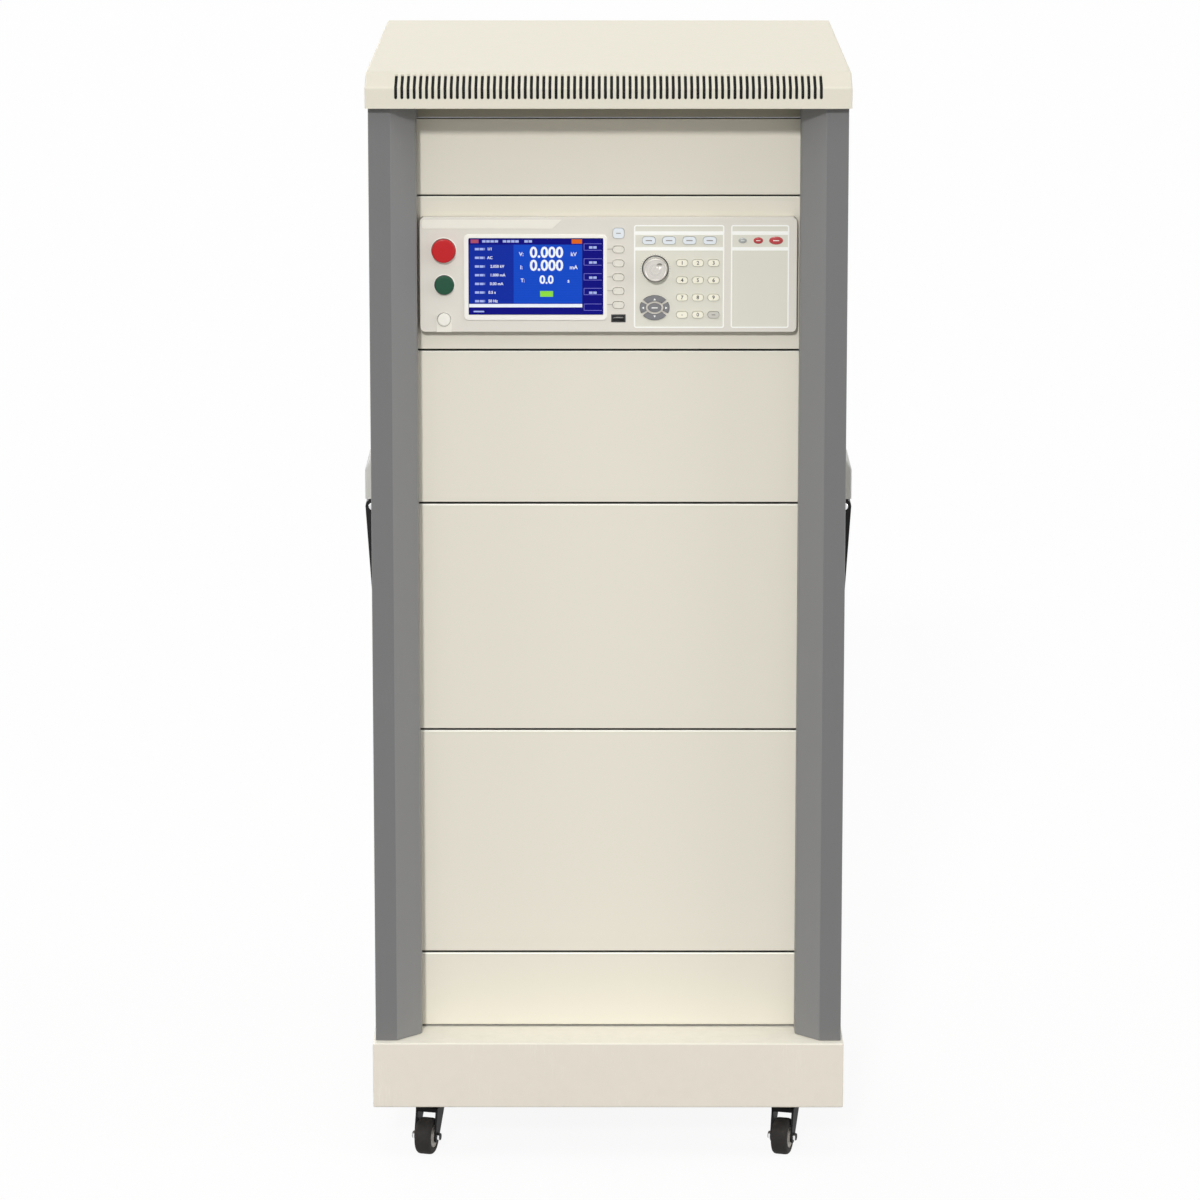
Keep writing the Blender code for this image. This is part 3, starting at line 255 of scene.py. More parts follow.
@dataclass
class EffectShelf:
    """Builds each shared effect once and hands out its node group."""

    made: dict[Effect, Tree] = field(default_factory=dict)

    def get(self, effect: Effect) -> Tree:
        """The effect's node group.

        Args:
            effect: the effect that is wanted.

        Returns:
            Its node group, built when it is first asked for.
        """
        if effect not in self.made:
            builders = {Effect.GRAIN: self._grain, Effect.RUB: self._rub, Effect.DUST: self._dust,
                        Effect.SCUFF: self._scuff, Effect.RINGS: self._rings, Effect.SPANGLE: self._spangle}
            self.made[effect] = builders[effect](effect.value)
        return self.made[effect]

    @staticmethod
    def _start(name: str, takes: Sequence[tuple[str, str, object]],
               gives: Sequence[tuple[str, str]]) -> tuple[Wiring, Node, Node]:
        """Makes an empty group with its sockets.

        Args:
            name: the group's name.
            takes: each input as name, socket kind and value.
            gives: each output as name and socket kind.

        Returns:
            The wiring, the group's input node and its output node.
        """
        tree = bpy.data.node_groups.new(name, "ShaderNodeTree")
        for label, kind, value in takes:
            tree.interface.new_socket(label, in_out="INPUT", socket_type=kind).default_value = value
        for label, kind in gives:
            tree.interface.new_socket(label, in_out="OUTPUT", socket_type=kind)
        wiring = Wiring(tree)
        return wiring, wiring.add("NodeGroupInput"), wiring.add("NodeGroupOutput")

    def _grain(self, name: str) -> Tree:
        """Orange peel or moulded grain, with a slow drift of colour and gloss."""
        wiring, took, gave = self._start(
            name, [("Colour", "NodeSocketColor", (0.8, 0.8, 0.8, 1)), ("Drift", "NodeSocketFloat", 0.05),
                   ("Grain", "NodeSocketFloat", 900.0), ("Gloss", "NodeSocketFloat", 0.5),
                   ("Swing", "NodeSocketFloat", 0.1)],
            [("Colour", "NodeSocketColor"), ("Roughness", "NodeSocketFloat"), ("Height", "NodeSocketFloat")])
        cloud = wiring.noise(2.3, 3.0)
        speck = wiring.noise(took.outputs["Grain"], 2.0, roughness=0.6)
        centred = wiring.sum("SUBTRACT", wiring.sum("ADD", wiring.sum("MULTIPLY", cloud, 0.7),
                                                    wiring.sum("MULTIPLY", speck, 0.3)), 0.5)
        value = wiring.sum("ADD", wiring.sum("MULTIPLY", centred, took.outputs["Drift"]), 1.0)
        shifted = wiring.add("ShaderNodeHueSaturation", None, Value=value, Color=took.outputs["Colour"])
        wiring.tree.links.new(shifted.outputs[0], gave.inputs["Colour"])
        gloss = wiring.sum("ADD", took.outputs["Gloss"], wiring.sum("MULTIPLY", centred, took.outputs["Swing"]), True)
        wiring.tree.links.new(gloss, gave.inputs["Roughness"])
        wiring.tree.links.new(speck, gave.inputs["Height"])
        return wiring.tree

    def _rub(self, name: str) -> Tree:
        """A mask that grows towards the sides of a box, broken up by noise."""
        wiring, took, gave = self._start(
            name, [("Middle", "NodeSocketVector", (0, 0, 0)), ("Half", "NodeSocketVector", (1, 1, 1)),
                   ("Width", "NodeSocketFloat", 0.004)], [("Mask", "NodeSocketFloat")])
        off = wiring.vector("ABSOLUTE", wiring.vector("SUBTRACT", wiring.place(), took.outputs["Middle"]))
        left = wiring.add("ShaderNodeSeparateXYZ", None, i0=wiring.vector("SUBTRACT", took.outputs["Half"], off))
        nearest = wiring.sum("MINIMUM", left.outputs["X"], left.outputs["Z"])
        ragged = wiring.sum("ADD", nearest, wiring.sum("MULTIPLY", wiring.noise(160.0, 3.0), 0.0022))
        share = wiring.sum("DIVIDE", ragged, took.outputs["Width"])
        wiring.tree.links.new(wiring.ramp(share, 0.35, 1.4, 1.0, 0.0), gave.inputs["Mask"])
        return wiring.tree

    def _dust(self, name: str) -> Tree:
        """A mask of dust that lies on what faces upwards and gathers low down."""
        wiring, took, gave = self._start(
            name, [("Height", "NodeSocketFloat", 0.1), ("Amount", "NodeSocketFloat", 0.5)],
            [("Mask", "NodeSocketFloat")])
        facing = wiring.add("ShaderNodeSeparateXYZ", None, i0=wiring.add("ShaderNodeNewGeometry").outputs["Normal"])
        up = wiring.ramp(facing.outputs["Z"], 0.1, 1.0, 0.25, 1.0)
        high = wiring.add("ShaderNodeSeparateXYZ", None, i0=wiring.place()).outputs["Z"]
        low_down = wiring.ramp(wiring.sum("DIVIDE", high, took.outputs["Height"]), 0.0, 1.0, 1.0, 0.15)
        patchy = wiring.ramp(wiring.noise(70.0, 4.0, roughness=0.65), 0.35, 0.75)
        whole = wiring.sum("MULTIPLY", wiring.sum("MULTIPLY", up, low_down), patchy)
        wiring.tree.links.new(wiring.sum("MULTIPLY", whole, took.outputs["Amount"], True), gave.inputs["Mask"])
        return wiring.tree

    def _scuff(self, name: str) -> Tree:
        """A mask of short fine scratches that run mostly up and down."""
        wiring, took, gave = self._start(
            name, [("Scale", "NodeSocketFloat", 60.0), ("Amount", "NodeSocketFloat", 0.5)],
            [("Mask", "NodeSocketFloat")])
        leaning = wiring.add("ShaderNodeMapping", None, Vector=wiring.place(), Rotation=(0.3, 0.5, 0.2),
                             Scale=(1.0, 1.0, 0.08)).outputs[0]
        lines = wiring.noise(took.outputs["Scale"], 5.0, leaning, 0.7)
        thin = wiring.ramp(wiring.sum("ABSOLUTE", wiring.sum("SUBTRACT", lines, 0.5)), 0.0, 0.014, 1.0, 0.0)
        here = wiring.ramp(wiring.noise(14.0, 2.0), 0.5, 0.7)
        wiring.tree.links.new(wiring.sum("MULTIPLY", wiring.sum("MULTIPLY", thin, here), took.outputs["Amount"], True),
                              gave.inputs["Mask"])
        return wiring.tree

    def _rings(self, name: str) -> Tree:
        """Fine turning marks round an axis along Y."""
        wiring, took, gave = self._start(
            name, [("Axis", "NodeSocketVector", (0, 0, 0)), ("Pitch", "NodeSocketFloat", 0.0004)],
            [("Height", "NodeSocketFloat"), ("Roughness", "NodeSocketFloat")])
        flat = wiring.vector("MULTIPLY", wiring.vector("SUBTRACT", wiring.place(), took.outputs["Axis"]), (1, 0, 1))
        out = wiring.sum("DIVIDE", wiring.vector("LENGTH", flat), took.outputs["Pitch"])
        uneven = wiring.add("ShaderNodeTexNoise", {"noise_dimensions": "1D"}, W=out, Scale=1.0, Detail=2.0)
        wiring.tree.links.new(uneven.outputs["Fac"], gave.inputs["Height"])
        wiring.tree.links.new(wiring.ramp(uneven.outputs["Fac"], 0.3, 0.7, 0.26, 0.4), gave.inputs["Roughness"])
        return wiring.tree

    def _spangle(self, name: str) -> Tree:
        """The flowery crystals of a zinc coat."""
        wiring, took, gave = self._start(
            name, [("Size", "NodeSocketFloat", 0.012), ("Colour", "NodeSocketColor", (0.5, 0.5, 0.5, 1))],
            [("Colour", "NodeSocketColor"), ("Roughness", "NodeSocketFloat")])
        scale = wiring.sum("DIVIDE", 1.0, took.outputs["Size"])
        cells = wiring.add("ShaderNodeTexVoronoi", None, Vector=wiring.place(), Scale=scale)
        shade = wiring.add("ShaderNodeSeparateColor", None, i0=cells.outputs["Color"]).outputs[0]
        value = wiring.ramp(shade, 0.0, 1.0, 0.86, 1.1)
        shifted = wiring.add("ShaderNodeHueSaturation", None, Value=value, Color=took.outputs["Colour"])
        wiring.tree.links.new(shifted.outputs[0], gave.inputs["Colour"])
        wiring.tree.links.new(wiring.ramp(shade, 0.0, 1.0, 0.34, 0.52), gave.inputs["Roughness"])
        return wiring.tree


EFFECTS = EffectShelf()

# Finishes


@dataclass(frozen=True)
class Finish:
    """A painted or moulded surface: grain, drift of colour, scuffs, dust and a band of colour along a box's sides.

    Args:
        name: the material's name.
        colour: its linear colour.
        gloss: its roughness.
        grain: grain waves for each metre.
        depth: how deep the grain is, in metres.
        drift: how far the colour drifts.
        coat: the weight of a clear coat.
        scuff: how many scratches show.
        dust: how much dust lies on it.
        dust_height: how high above the floor the dust gathers, in metres.
        edge: the colour at the sides of the box, or None.
        middle: that box's middle.
        half: half of that box's size.
        edge_width: how wide the edge's band is.
        metal: 1 for bare metal.
        glow: the strength of its own light.
        shine: how strongly it mirrors, 0.5 for plain plastic.
    """

    name: str
    colour: Colour
    gloss: float = 0.5
    grain: float = 900.0
    depth: float = 0.00004
    drift: float = 0.06
    coat: float = 0.0
    scuff: float = 0.0
    dust: float = 0.0
    dust_height: float = 0.2
    edge: Optional[Colour] = None
    middle: tuple[float, float, float] = (0.0, 0.0, 0.0)
    half: tuple[float, float, float] = (1.0, 1.0, 1.0)
    edge_width: float = 0.004
    metal: float = 0.0
    glow: float = 0.0
    shine: float = 0.5

    def make(self) -> bpy.types.Material:
        """Builds the material, once for each name.

        Returns:
            The material.
        """
        known = bpy.data.materials.get(self.name)
        if known:
            return known
        made = bpy.data.materials.new(self.name)
        made.use_nodes = True
        made.diffuse_color = (*self.colour, 1.0)
        wiring = Wiring(made.node_tree)
        shader = made.node_tree.nodes["Principled BSDF"]
        colour, rough, height = self.surface(wiring)
        made.node_tree.links.new(colour, shader.inputs["Base Color"])
        made.node_tree.links.new(rough, shader.inputs["Roughness"])
        if height is not None:
            bump = wiring.add("ShaderNodeBump", None, Height=height, Distance=self.depth, Strength=0.6)
            made.node_tree.links.new(bump.outputs[0], shader.inputs["Normal"])
        shader.inputs["Metallic"].default_value = self.metal
        shader.inputs["Coat Weight"].default_value = self.coat
        shader.inputs["Coat Roughness"].default_value = 0.12
        shader.inputs["Specular IOR Level"].default_value = self.shine
        if self.glow:
            made.node_tree.links.new(colour, shader.inputs["Emission Color"])
            shader.inputs["Emission Strength"].default_value = self.glow
        return made

    def surface(self, wiring: Wiring) -> Sockets:
        """Wires the pattern of the surface.

        Args:
            wiring: the material's wiring.

        Returns:
            The sockets with the colour, the roughness and the height.
        """
        base = wiring.add("ShaderNodeGroup", {"node_tree": EFFECTS.get(Effect.GRAIN)}, Colour=(*self.colour, 1.0),
                          Drift=self.drift, Grain=self.grain, Gloss=self.gloss, Swing=self.drift * 1.5)
        colour, rough = base.outputs["Colour"], base.outputs["Roughness"]
        if self.edge:
            mask = wiring.add("ShaderNodeGroup", {"node_tree": EFFECTS.get(Effect.RUB)}, Middle=self.middle,
                              Half=self.half, Width=self.edge_width).outputs[0]
            colour = wiring.mix(mask, colour, self.edge)
        if self.scuff:
            mask = wiring.add("ShaderNodeGroup", {"node_tree": EFFECTS.get(Effect.SCUFF)}, Scale=70.0,
                              Amount=self.scuff).outputs[0]
            colour = wiring.mix(mask, colour, tuple(min(1.0, c * 1.5 + 0.03) for c in self.colour))
            rough = wiring.sum("ADD", rough, wiring.sum("MULTIPLY", mask, 0.2), True)
        if self.dust:
            mask = wiring.add("ShaderNodeGroup", {"node_tree": EFFECTS.get(Effect.DUST)}, Height=self.dust_height,
                              Amount=self.dust).outputs[0]
            colour = wiring.mix(mask, colour, (0.34, 0.31, 0.27))
            rough = wiring.sum("ADD", rough, wiring.sum("MULTIPLY", mask, 0.35), True)
        return colour, rough, base.outputs["Height"]


@dataclass(frozen=True)
class Zinc(Finish):
    """Galvanised sheet with its spangle."""

    spangle: float = 0.012

    def surface(self, wiring: Wiring) -> Sockets:
        """Wires the spangle.

        Args:
            wiring: the material's wiring.

        Returns:
            The sockets with the colour, the roughness and the height.
        """
        node = wiring.add("ShaderNodeGroup", {"node_tree": EFFECTS.get(Effect.SPANGLE)}, Size=self.spangle,
                          Colour=(*self.colour, 1.0))
        return node.outputs["Colour"], node.outputs["Roughness"], wiring.noise(self.grain, 3.0)


@dataclass(frozen=True)
class Turned(Finish):
    """Metal turned round an axis along Y."""

    axis: tuple[float, float, float] = (0.0, 0.0, 0.0)

    def surface(self, wiring: Wiring) -> Sockets:
        """Wires the turning marks.

        Args:
            wiring: the material's wiring.

        Returns:
            The sockets with the colour, the roughness and the height.
        """
        base = wiring.add("ShaderNodeGroup", {"node_tree": EFFECTS.get(Effect.GRAIN)}, Colour=(*self.colour, 1.0),
                          Drift=self.drift, Grain=self.grain)
        ring = wiring.add("ShaderNodeGroup", {"node_tree": EFFECTS.get(Effect.RINGS)}, Axis=self.axis)
        return base.outputs["Colour"], ring.outputs["Roughness"], ring.outputs["Height"]


@dataclass(frozen=True)
class Light(Finish):
    """A lit part of the screen, with the faint grid of its dots."""

    glow: float = 0.5
    shine: float = 0.08

    def surface(self, wiring: Wiring) -> Sockets:
        """Wires the dots and a slow drift of roughness.

        Args:
            wiring: the material's wiring.

        Returns:
            The sockets with the colour and the roughness, and no height.
        """
        dots = wiring.add("ShaderNodeTexWave", {"bands_direction": "Z"}, Vector=wiring.place(), Scale=160.0).outputs[1]
        glass = wiring.ramp(wiring.noise(9.0, 2.0), 0.3, 0.7, 0.1, 0.16)
        dim = tuple(c * 0.86 for c in self.colour)
        return wiring.mix(wiring.ramp(dots, 0.0, 1.0, 0.55, 1.0), dim, self.colour), glass, None


# The bench: shaping one piece with Blender's operators


def unpick() -> None:
    """Leaves no piece selected."""
    bpy.ops.object.select_all(action="DESELECT")


@dataclass
class Piece:
    """One piece on the bench, shaped by hand with Blender's operators.

    Args:
        obj: its object.
    """

    obj: bpy.types.Object

    @classmethod
    def _named(cls, name: str) -> "Piece":
        """The object that was just added, under its own name, with its place applied."""
        obj = bpy.context.active_object
        obj.name = obj.data.name = name
        bpy.ops.object.transform_apply(location=True, rotation=True, scale=True)
        return cls(obj)

    @classmethod
    def block(cls, name: str, low: Sequence[float], high: Sequence[float]) -> "Piece":
        """A block between two corners, the start of most pieces.

        Args:
            name: the piece's name.
            low: its lowest corner.
            high: its highest corner.

        Returns:
            The piece.
        """
        low, high = Vector(low), Vector(high)
        unpick()
        bpy.ops.mesh.primitive_cube_add(size=1.0, location=(low + high) / 2)
        bpy.context.active_object.scale = high - low
        return cls._named(name)

    @classmethod
    def rod(cls, name: str, at: Sequence[float], radius: float, length: float, sides: int = 32,
            axis: str = "Y") -> "Piece":
        """A round bar, the start of turned pieces.

        Args:
            name: the piece's name.
            at: the middle of its near end, where it starts.
            radius: its radius.
            length: how far it runs, negative for the other way.
            sides: how many sides it has.
            axis: the axis it runs along.

        Returns:
            The piece.
        """
        way = Vector([float(axis == letter) for letter in "XYZ"])
        turn = {"X": (0.0, math.pi / 2, 0.0), "Y": (math.pi / 2, 0.0, 0.0), "Z": (0.0, 0.0, 0.0)}[axis]
        unpick()
        bpy.ops.mesh.primitive_cylinder_add(vertices=sides, radius=radius, depth=abs(length),
                                            location=Vector(at) + way * length / 2, rotation=turn)
        return cls._named(name)

    @classmethod
    def turned(cls, name: str, at: Sequence[float], profile: Sequence[tuple[float, float]], sides: int = 48,
               axis: Sequence[float] = (0.0, -1.0, 0.0)) -> "Piece":
        """A turned piece: a disc that is extruded and resized step by step along its profile.

        Args:
            name: the piece's name.
            at: the middle of its first disc.
            profile: radius and distance along the axis for each step; the first distance is 0.
            sides: how many sides it has.
            axis: the way it grows.

        Returns:
            The piece, closed at both ends.
        """
        way = Vector(axis).normalized()
        unpick()
        bpy.ops.mesh.primitive_circle_add(vertices=sides, radius=profile[0][0], fill_type="NGON", location=(0, 0, 0))
        piece = cls._named(name)
        piece.edit()
        bpy.ops.mesh.select_all(action="SELECT")
        radius, far = profile[0]
        for next_radius, distance in profile[1:]:
            bpy.ops.mesh.extrude_region_move(TRANSFORM_OT_translate={"value": (0.0, 0.0, distance - far)})
            share = next_radius / radius
            bpy.ops.transform.resize(value=(share, share, 1.0), center_override=(0.0, 0.0, distance))
            radius, far = next_radius, distance
        piece.close()
        piece.obj.matrix_world = Matrix.Translation(Vector(at)) @ way.to_track_quat("Z", "Y").to_matrix().to_4x4()
        piece.apply_place()
        return piece.outwards()

    @classmethod
    def from_node(cls, node: str, name: Optional[str] = None) -> "Piece":
        """A copy of a CAD node with its loose triangles merged and its flat faces made whole.

        Args:
            node: the CAD node.
            name: the copy's name, or None for the node's name with "_body".

        Returns:
            The copy, which stands for the node.
        """
        source = frame["nodes"][node]
        source.hide_viewport = False
        unpick()
        source.select_set(True)
        bpy.context.view_layer.objects.active = source
        bpy.ops.object.duplicate(linked=False)
        obj = bpy.context.active_object
        obj.parent, obj.hide_render = None, False
        obj.matrix_world = Matrix.Identity(4)
        obj.name = obj.data.name = name or f"{node}_body"
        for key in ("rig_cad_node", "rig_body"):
            if key in obj:
                del obj[key]
        obj.data.materials.clear()
        piece = cls(obj)
        piece.edit()
        bpy.ops.mesh.select_all(action="SELECT")
        bpy.ops.mesh.remove_doubles(threshold=0.00001)
        bpy.ops.mesh.customdata_custom_splitnormals_clear()
        bpy.ops.mesh.select_all(action="SELECT")
        bpy.ops.mesh.dissolve_limited(angle_limit=math.radians(1.0))
        piece.close()
        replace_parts(obj, node)
        return piece

    # Picking the piece and parts of its mesh

    def _pick(self) -> None:
        """Makes this piece the only selected one and the active one."""
        unpick()
        self.obj.select_set(True)
        bpy.context.view_layer.objects.active = self.obj

    def edit(self, kind: str = "FACE") -> "Piece":
        """Opens the mesh for editing, with nothing selected."""
        self._pick()
        bpy.ops.object.mode_set(mode="EDIT")
        bpy.ops.mesh.select_mode(type=kind)
        bpy.ops.mesh.select_all(action="DESELECT")
        return self

    def close(self) -> "Piece":
        """Leaves the mesh, back to the whole piece."""
        bpy.ops.object.mode_set(mode="OBJECT")
        return self

    def choose(self, test: Test, kind: str = "FACE") -> "Piece":
        """Selects faces, edges or corners by their place, and leaves the mesh open.

        Args:
            test: given a place and a direction, says whether it is wanted. For an edge these are its middle
                and the way it runs, for a face its middle and normal.
            kind: FACE, EDGE or VERT.

        Returns:
            This piece.
        """
        self.edit(kind).close()
        mesh = self.obj.data
        corners = mesh.vertices
        if kind == "FACE":
            for face in mesh.polygons:
                face.select = test(face.center, face.normal)
        elif kind == "EDGE":
            for edge in mesh.edges:
                first, last = (corners[i].co for i in edge.vertices)
                edge.select = test((first + last) / 2, (last - first).normalized())
        else:
            for corner in corners:
                corner.select = test(corner.co, corner.normal)
        bpy.ops.object.mode_set(mode="EDIT")
        return self

    # Shaping

    def extrude(self, test: Test, by: Sequence[float], grow: Sequence[float] = (1.0, 1.0, 1.0)) -> "Piece":
        """Pulls faces out, then resizes the new end about its own middle.

        Args:
            test: picks the faces.
            by: how far they move.
            grow: how much the new end is resized.

        Returns:
            This piece.
        """
        self.choose(test)
        bpy.ops.mesh.extrude_region_move(TRANSFORM_OT_translate={"value": tuple(by)})
        if tuple(grow) != (1.0, 1.0, 1.0):
            bpy.ops.transform.resize(value=tuple(grow))
        return self.close()

    def inset(self, test: Test, thickness: float, depth: float = 0.0) -> "Piece":
        """Insets faces, and sinks or raises what is inside.

        Args:
            test: picks the faces.
            thickness: the width of the rim.
            depth: how far the middle rises along its normal, negative to sink.

        Returns:
            This piece.
        """
        self.choose(test)
        bpy.ops.mesh.inset(thickness=thickness, depth=depth, use_boundary=True)
        return self.close()

    def round(self, test: Test, width: float, steps: int = 3) -> "Piece":
        """Rounds edges.

        Args:
            test: picks the edges.
            width: how far the round reaches from the edge.
            steps: how many facets it has.

        Returns:
            This piece.
        """
        self.choose(test, "EDGE")
        bpy.ops.mesh.bevel(offset=width, segments=steps, affect="EDGES", clamp_overlap=True)
        return self.close()

    def slice(self, at: Sequence[float], normal: Sequence[float], keep_both: bool = True) -> "Piece":
        """Cuts the piece along a plane.

        Args:
            at: a point on the plane.
            normal: the plane's normal.
            keep_both: keeps both halves joined with a new loop of edges; else the normal's side goes.

        Returns:
            This piece.
        """
        self.edit()
        bpy.ops.mesh.select_all(action="SELECT")
        bpy.ops.mesh.bisect(plane_co=tuple(at), plane_no=tuple(normal), clear_outer=not keep_both,
                            use_fill=not keep_both)
        return self.close()

    def move(self, test: Test, by: Sequence[float]) -> "Piece":
        """Moves corners.

        Args:
            test: picks the corners.
            by: how far they move.

        Returns:
            This piece.
        """
        self.choose(test, "VERT")
        bpy.ops.transform.translate(value=tuple(by))
        return self.close()

    def open_up(self, test: Test) -> "Piece":
        """Takes faces away.

        Args:
            test: picks the faces.

        Returns:
            This piece.
        """
        self.choose(test)
        bpy.ops.mesh.delete(type="FACE")
        return self.close()

    def outwards(self) -> "Piece":
        """Merges doubles and turns every face of a closed shape outwards."""
        self.edit()
        bpy.ops.mesh.select_all(action="SELECT")
        bpy.ops.mesh.remove_doubles(threshold=0.000002)
        bpy.ops.mesh.normals_make_consistent(inside=False)
        return self.close()

    def apply_place(self) -> "Piece":
        """Puts the object's place into its mesh."""
        self._pick()
        bpy.ops.object.transform_apply(location=True, rotation=True, scale=True)
        return self

    def shift(self, by: Sequence[float]) -> "Piece":
        """Moves the whole piece and applies its place."""
        self.obj.location = Vector(by)
        return self.apply_place()

    def modifier(self, kind: str, **settings: object) -> "Piece":
        """Adds a modifier and applies it.

        Args:
            kind: the modifier's type.
            **settings: its settings.

        Returns:
            This piece.
        """
        self._pick()
        bpy.ops.object.modifier_add(type=kind)
        added = self.obj.modifiers[-1]
        for name, value in settings.items():
            setattr(added, name, value)
        bpy.ops.object.modifier_apply(modifier=added.name)
        return self

    def cut(self, other: "Piece", how: Cut = Cut.AWAY) -> "Piece":
        """Cuts another piece out of this one, or joins it on, and drops the other.

        Args:
            other: the other piece.
            how: what is done.

        Returns:
            This piece.
        """
        self.modifier("BOOLEAN", operation=how.value, solver="EXACT", object=other.obj)
        bpy.data.objects.remove(other.obj, do_unlink=True)
        return self

    def row(self, count: int, step: Sequence[float]) -> "Piece":
        """Repeats the piece in a row.

        Args:
            count: how many there are.
            step: from one to the next.

        Returns:
            This piece.
        """
        return self.modifier("ARRAY", count=count, use_relative_offset=False, use_constant_offset=True,
                             constant_offset_displace=tuple(step))

    def soften(self, width: float, steps: int = 2, angle: float = 40.0) -> "Piece":
        """Rounds every sharp edge a little."""
        return self.modifier("BEVEL", width=width, segments=steps, limit_method="ANGLE",
                             angle_limit=math.radians(angle), use_clamp_overlap=True)

    def smooth(self, angle: float = 35.0) -> "Piece":
        """Smooth shading that keeps flat faces flat."""
        self._pick()
        bpy.ops.object.shade_smooth_by_angle(angle=math.radians(angle), keep_sharp_edges=True)
        return self.modifier("WEIGHTED_NORMAL", keep_sharp=True, weight=50)

    def copy(self, name: str, by: Sequence[float]) -> "Piece":
        """A copy with its own mesh, moved from this one.

        Args:
            name: the copy's name.
            by: how far it is moved.

        Returns:
            The copy.
        """
        self._pick()
        bpy.ops.object.duplicate(linked=False)
        obj = bpy.context.active_object
        obj.name = obj.data.name = name
        return Piece(obj).shift(by)

    def dress(self, finish: Finish) -> "Piece":
        """Gives the piece its finish."""
        self.obj.data.materials.clear()
        self.obj.data.materials.append(finish.make())
        return self

    def accent(self, finish: Finish, test: Test) -> "Piece":
        """Gives the faces that pass the test, by their middle and direction, a finish of their own."""
        self.obj.data.materials.append(finish.make())
        for face in self.obj.data.polygons:
            if test(face.center, face.normal):
                face.material_index = len(self.obj.data.materials) - 1
        return self

    def ride(self, body: str, slot: Optional[str] = None, stands_for: Sequence[str] = ()) -> "Piece":
        """Lets the finished piece move with a body.

        Args:
            body: the CAD body.
            slot: the record's material slot; not used.
            stands_for: the CAD nodes it replaces.

        Returns:
            This piece.
        """
        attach(self.obj, body)
        if stands_for:
            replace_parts(self.obj, *stands_for)
        LOG.info("%s: %d faces, rides on %s", self.obj.name, len(self.obj.data.polygons), body)
        return self


def near(value: float, wanted: float, slack: float = 0.00005) -> bool:
    """Whether two lengths are the same within the slack."""
    return abs(value - wanted) < slack


def mid(node: str) -> Vector:
    """The middle of a CAD node's box."""
    low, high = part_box(node)
    return (low + high) / 2


# The cabinet


class Paint:
    """The tester's finishes."""

    TRIM = Finish("cream_trim_paint", tone("dfdaca"), 0.78, 650.0, 0.00005, 0.035, dust=0.12, dust_height=1.5,
                  shine=0.15)
    PANEL = Finish("cream_panel_paint", tone("e2ddce"), 0.55, 650.0, 0.00005, 0.03, shine=0.35)
    PILLAR = Finish("grey_pillar_paint", tone("797979"), 0.46, 800.0, 0.00005, 0.05, scuff=0.12)
    # Painted shade: the pillars' front flat faces get a darker copy of the same grey paint.
    PILLAR_FLAT = Finish("grey_pillar_flat_paint", tone("6a6a6a"), 0.46, 800.0, 0.00005, 0.05, scuff=0.12)
    # Painted shade: the header under the hood's overhang is painted a darker cream.
    HEADER = Finish("header_paint", tone("a39e8e"), 0.6, 650.0, 0.00005, 0.04, shine=0.2)
    # Painted light: the plinth's upward ledge is painted lighter than its front, as if lit from above; its dust is
    # real.
    LEDGE = Finish("ledge_paint", tone("e9e5d8"), 0.6, 650.0, 0.00005, 0.03, dust=0.1, dust_height=0.4, shine=0.2)
    # Painted highlight: the rounded top edge of each panel is painted near white.
    PANEL_EDGE = Finish("cream_edge_paint", tone("fcfaee"), 0.4, 650.0, 0.00003, 0.03)
    # Painted shade: the panels' flat top and bottom faces and lower bevels are painted near black, as the shade in the
    # seams.
    SEAM = Finish("black_panel_seam", tone("1d1c1a"), 0.8, 650.0, 0.00003, 0.1, shine=0.1)
    # Painted shade: a near-black sheet stands behind the hood's slots so they read dark.
    FOAM = Finish("black_filter_foam", (0.006, 0.006, 0.006), 0.95, 420.0, 0.0006, 0.6)
    CAP = Finish("handle_cap_plastic", tone("b9b9b6"), 0.48, 1500.0, 0.00003, 0.05, scuff=0.1)
    BLACK = Finish("black_handle_plastic", (0.007, 0.007, 0.008), 0.45, 1300.0, 0.00006, 0.3, scuff=0.25, shine=0.2)
    LATCH = Finish("black_latch_plastic", (0.016, 0.016, 0.017), 0.4, 1300.0, 0.00005, 0.3, scuff=0.3)
    BRIGHT = Finish("bright_plated_steel", (0.80, 0.80, 0.81), 0.2, 700.0, 0.00001, 0.08, metal=1.0)
    ZINC = Zinc("zinc_sheet", (0.50, 0.51, 0.53), 0.42, 300.0, 0.00002, metal=0.85)
    TYRE = Finish("tyre_rubber_brown", tone("211e1c"), 0.78, 500.0, 0.00012, 0.3, scuff=0.2, dust=0.12,
                  dust_height=0.09, shine=0.3)
    HUB = Finish("grey_hub_plastic", tone("a9a49c"), 0.5, 1200.0, 0.00003, 0.1, dust=0.25, dust_height=0.09)
    FORK = Finish("black_fork_paint", (0.007, 0.007, 0.008), 0.5, 750.0, 0.00006, 0.4, scuff=0.12, shine=0.12,
                  dust=0.1, dust_height=0.12)


def panel_paint(node: str) -> Finish:
    """The panels' paint, a little darker in a band along the sides of one panel.

    Args:
        node: the CAD node whose box gives the panel's sides.

    Returns:
        The finish.
    """
    low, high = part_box(node)
    middle, half = (low + high) / 2, (high - low) / 2
    return Finish(f"{node}_paint", Paint.PANEL.colour, 0.52, 650.0, 0.00005, 0.03, edge=tone("d3cdbc"),
                  middle=tuple(middle), half=tuple(half), edge_width=0.0022)


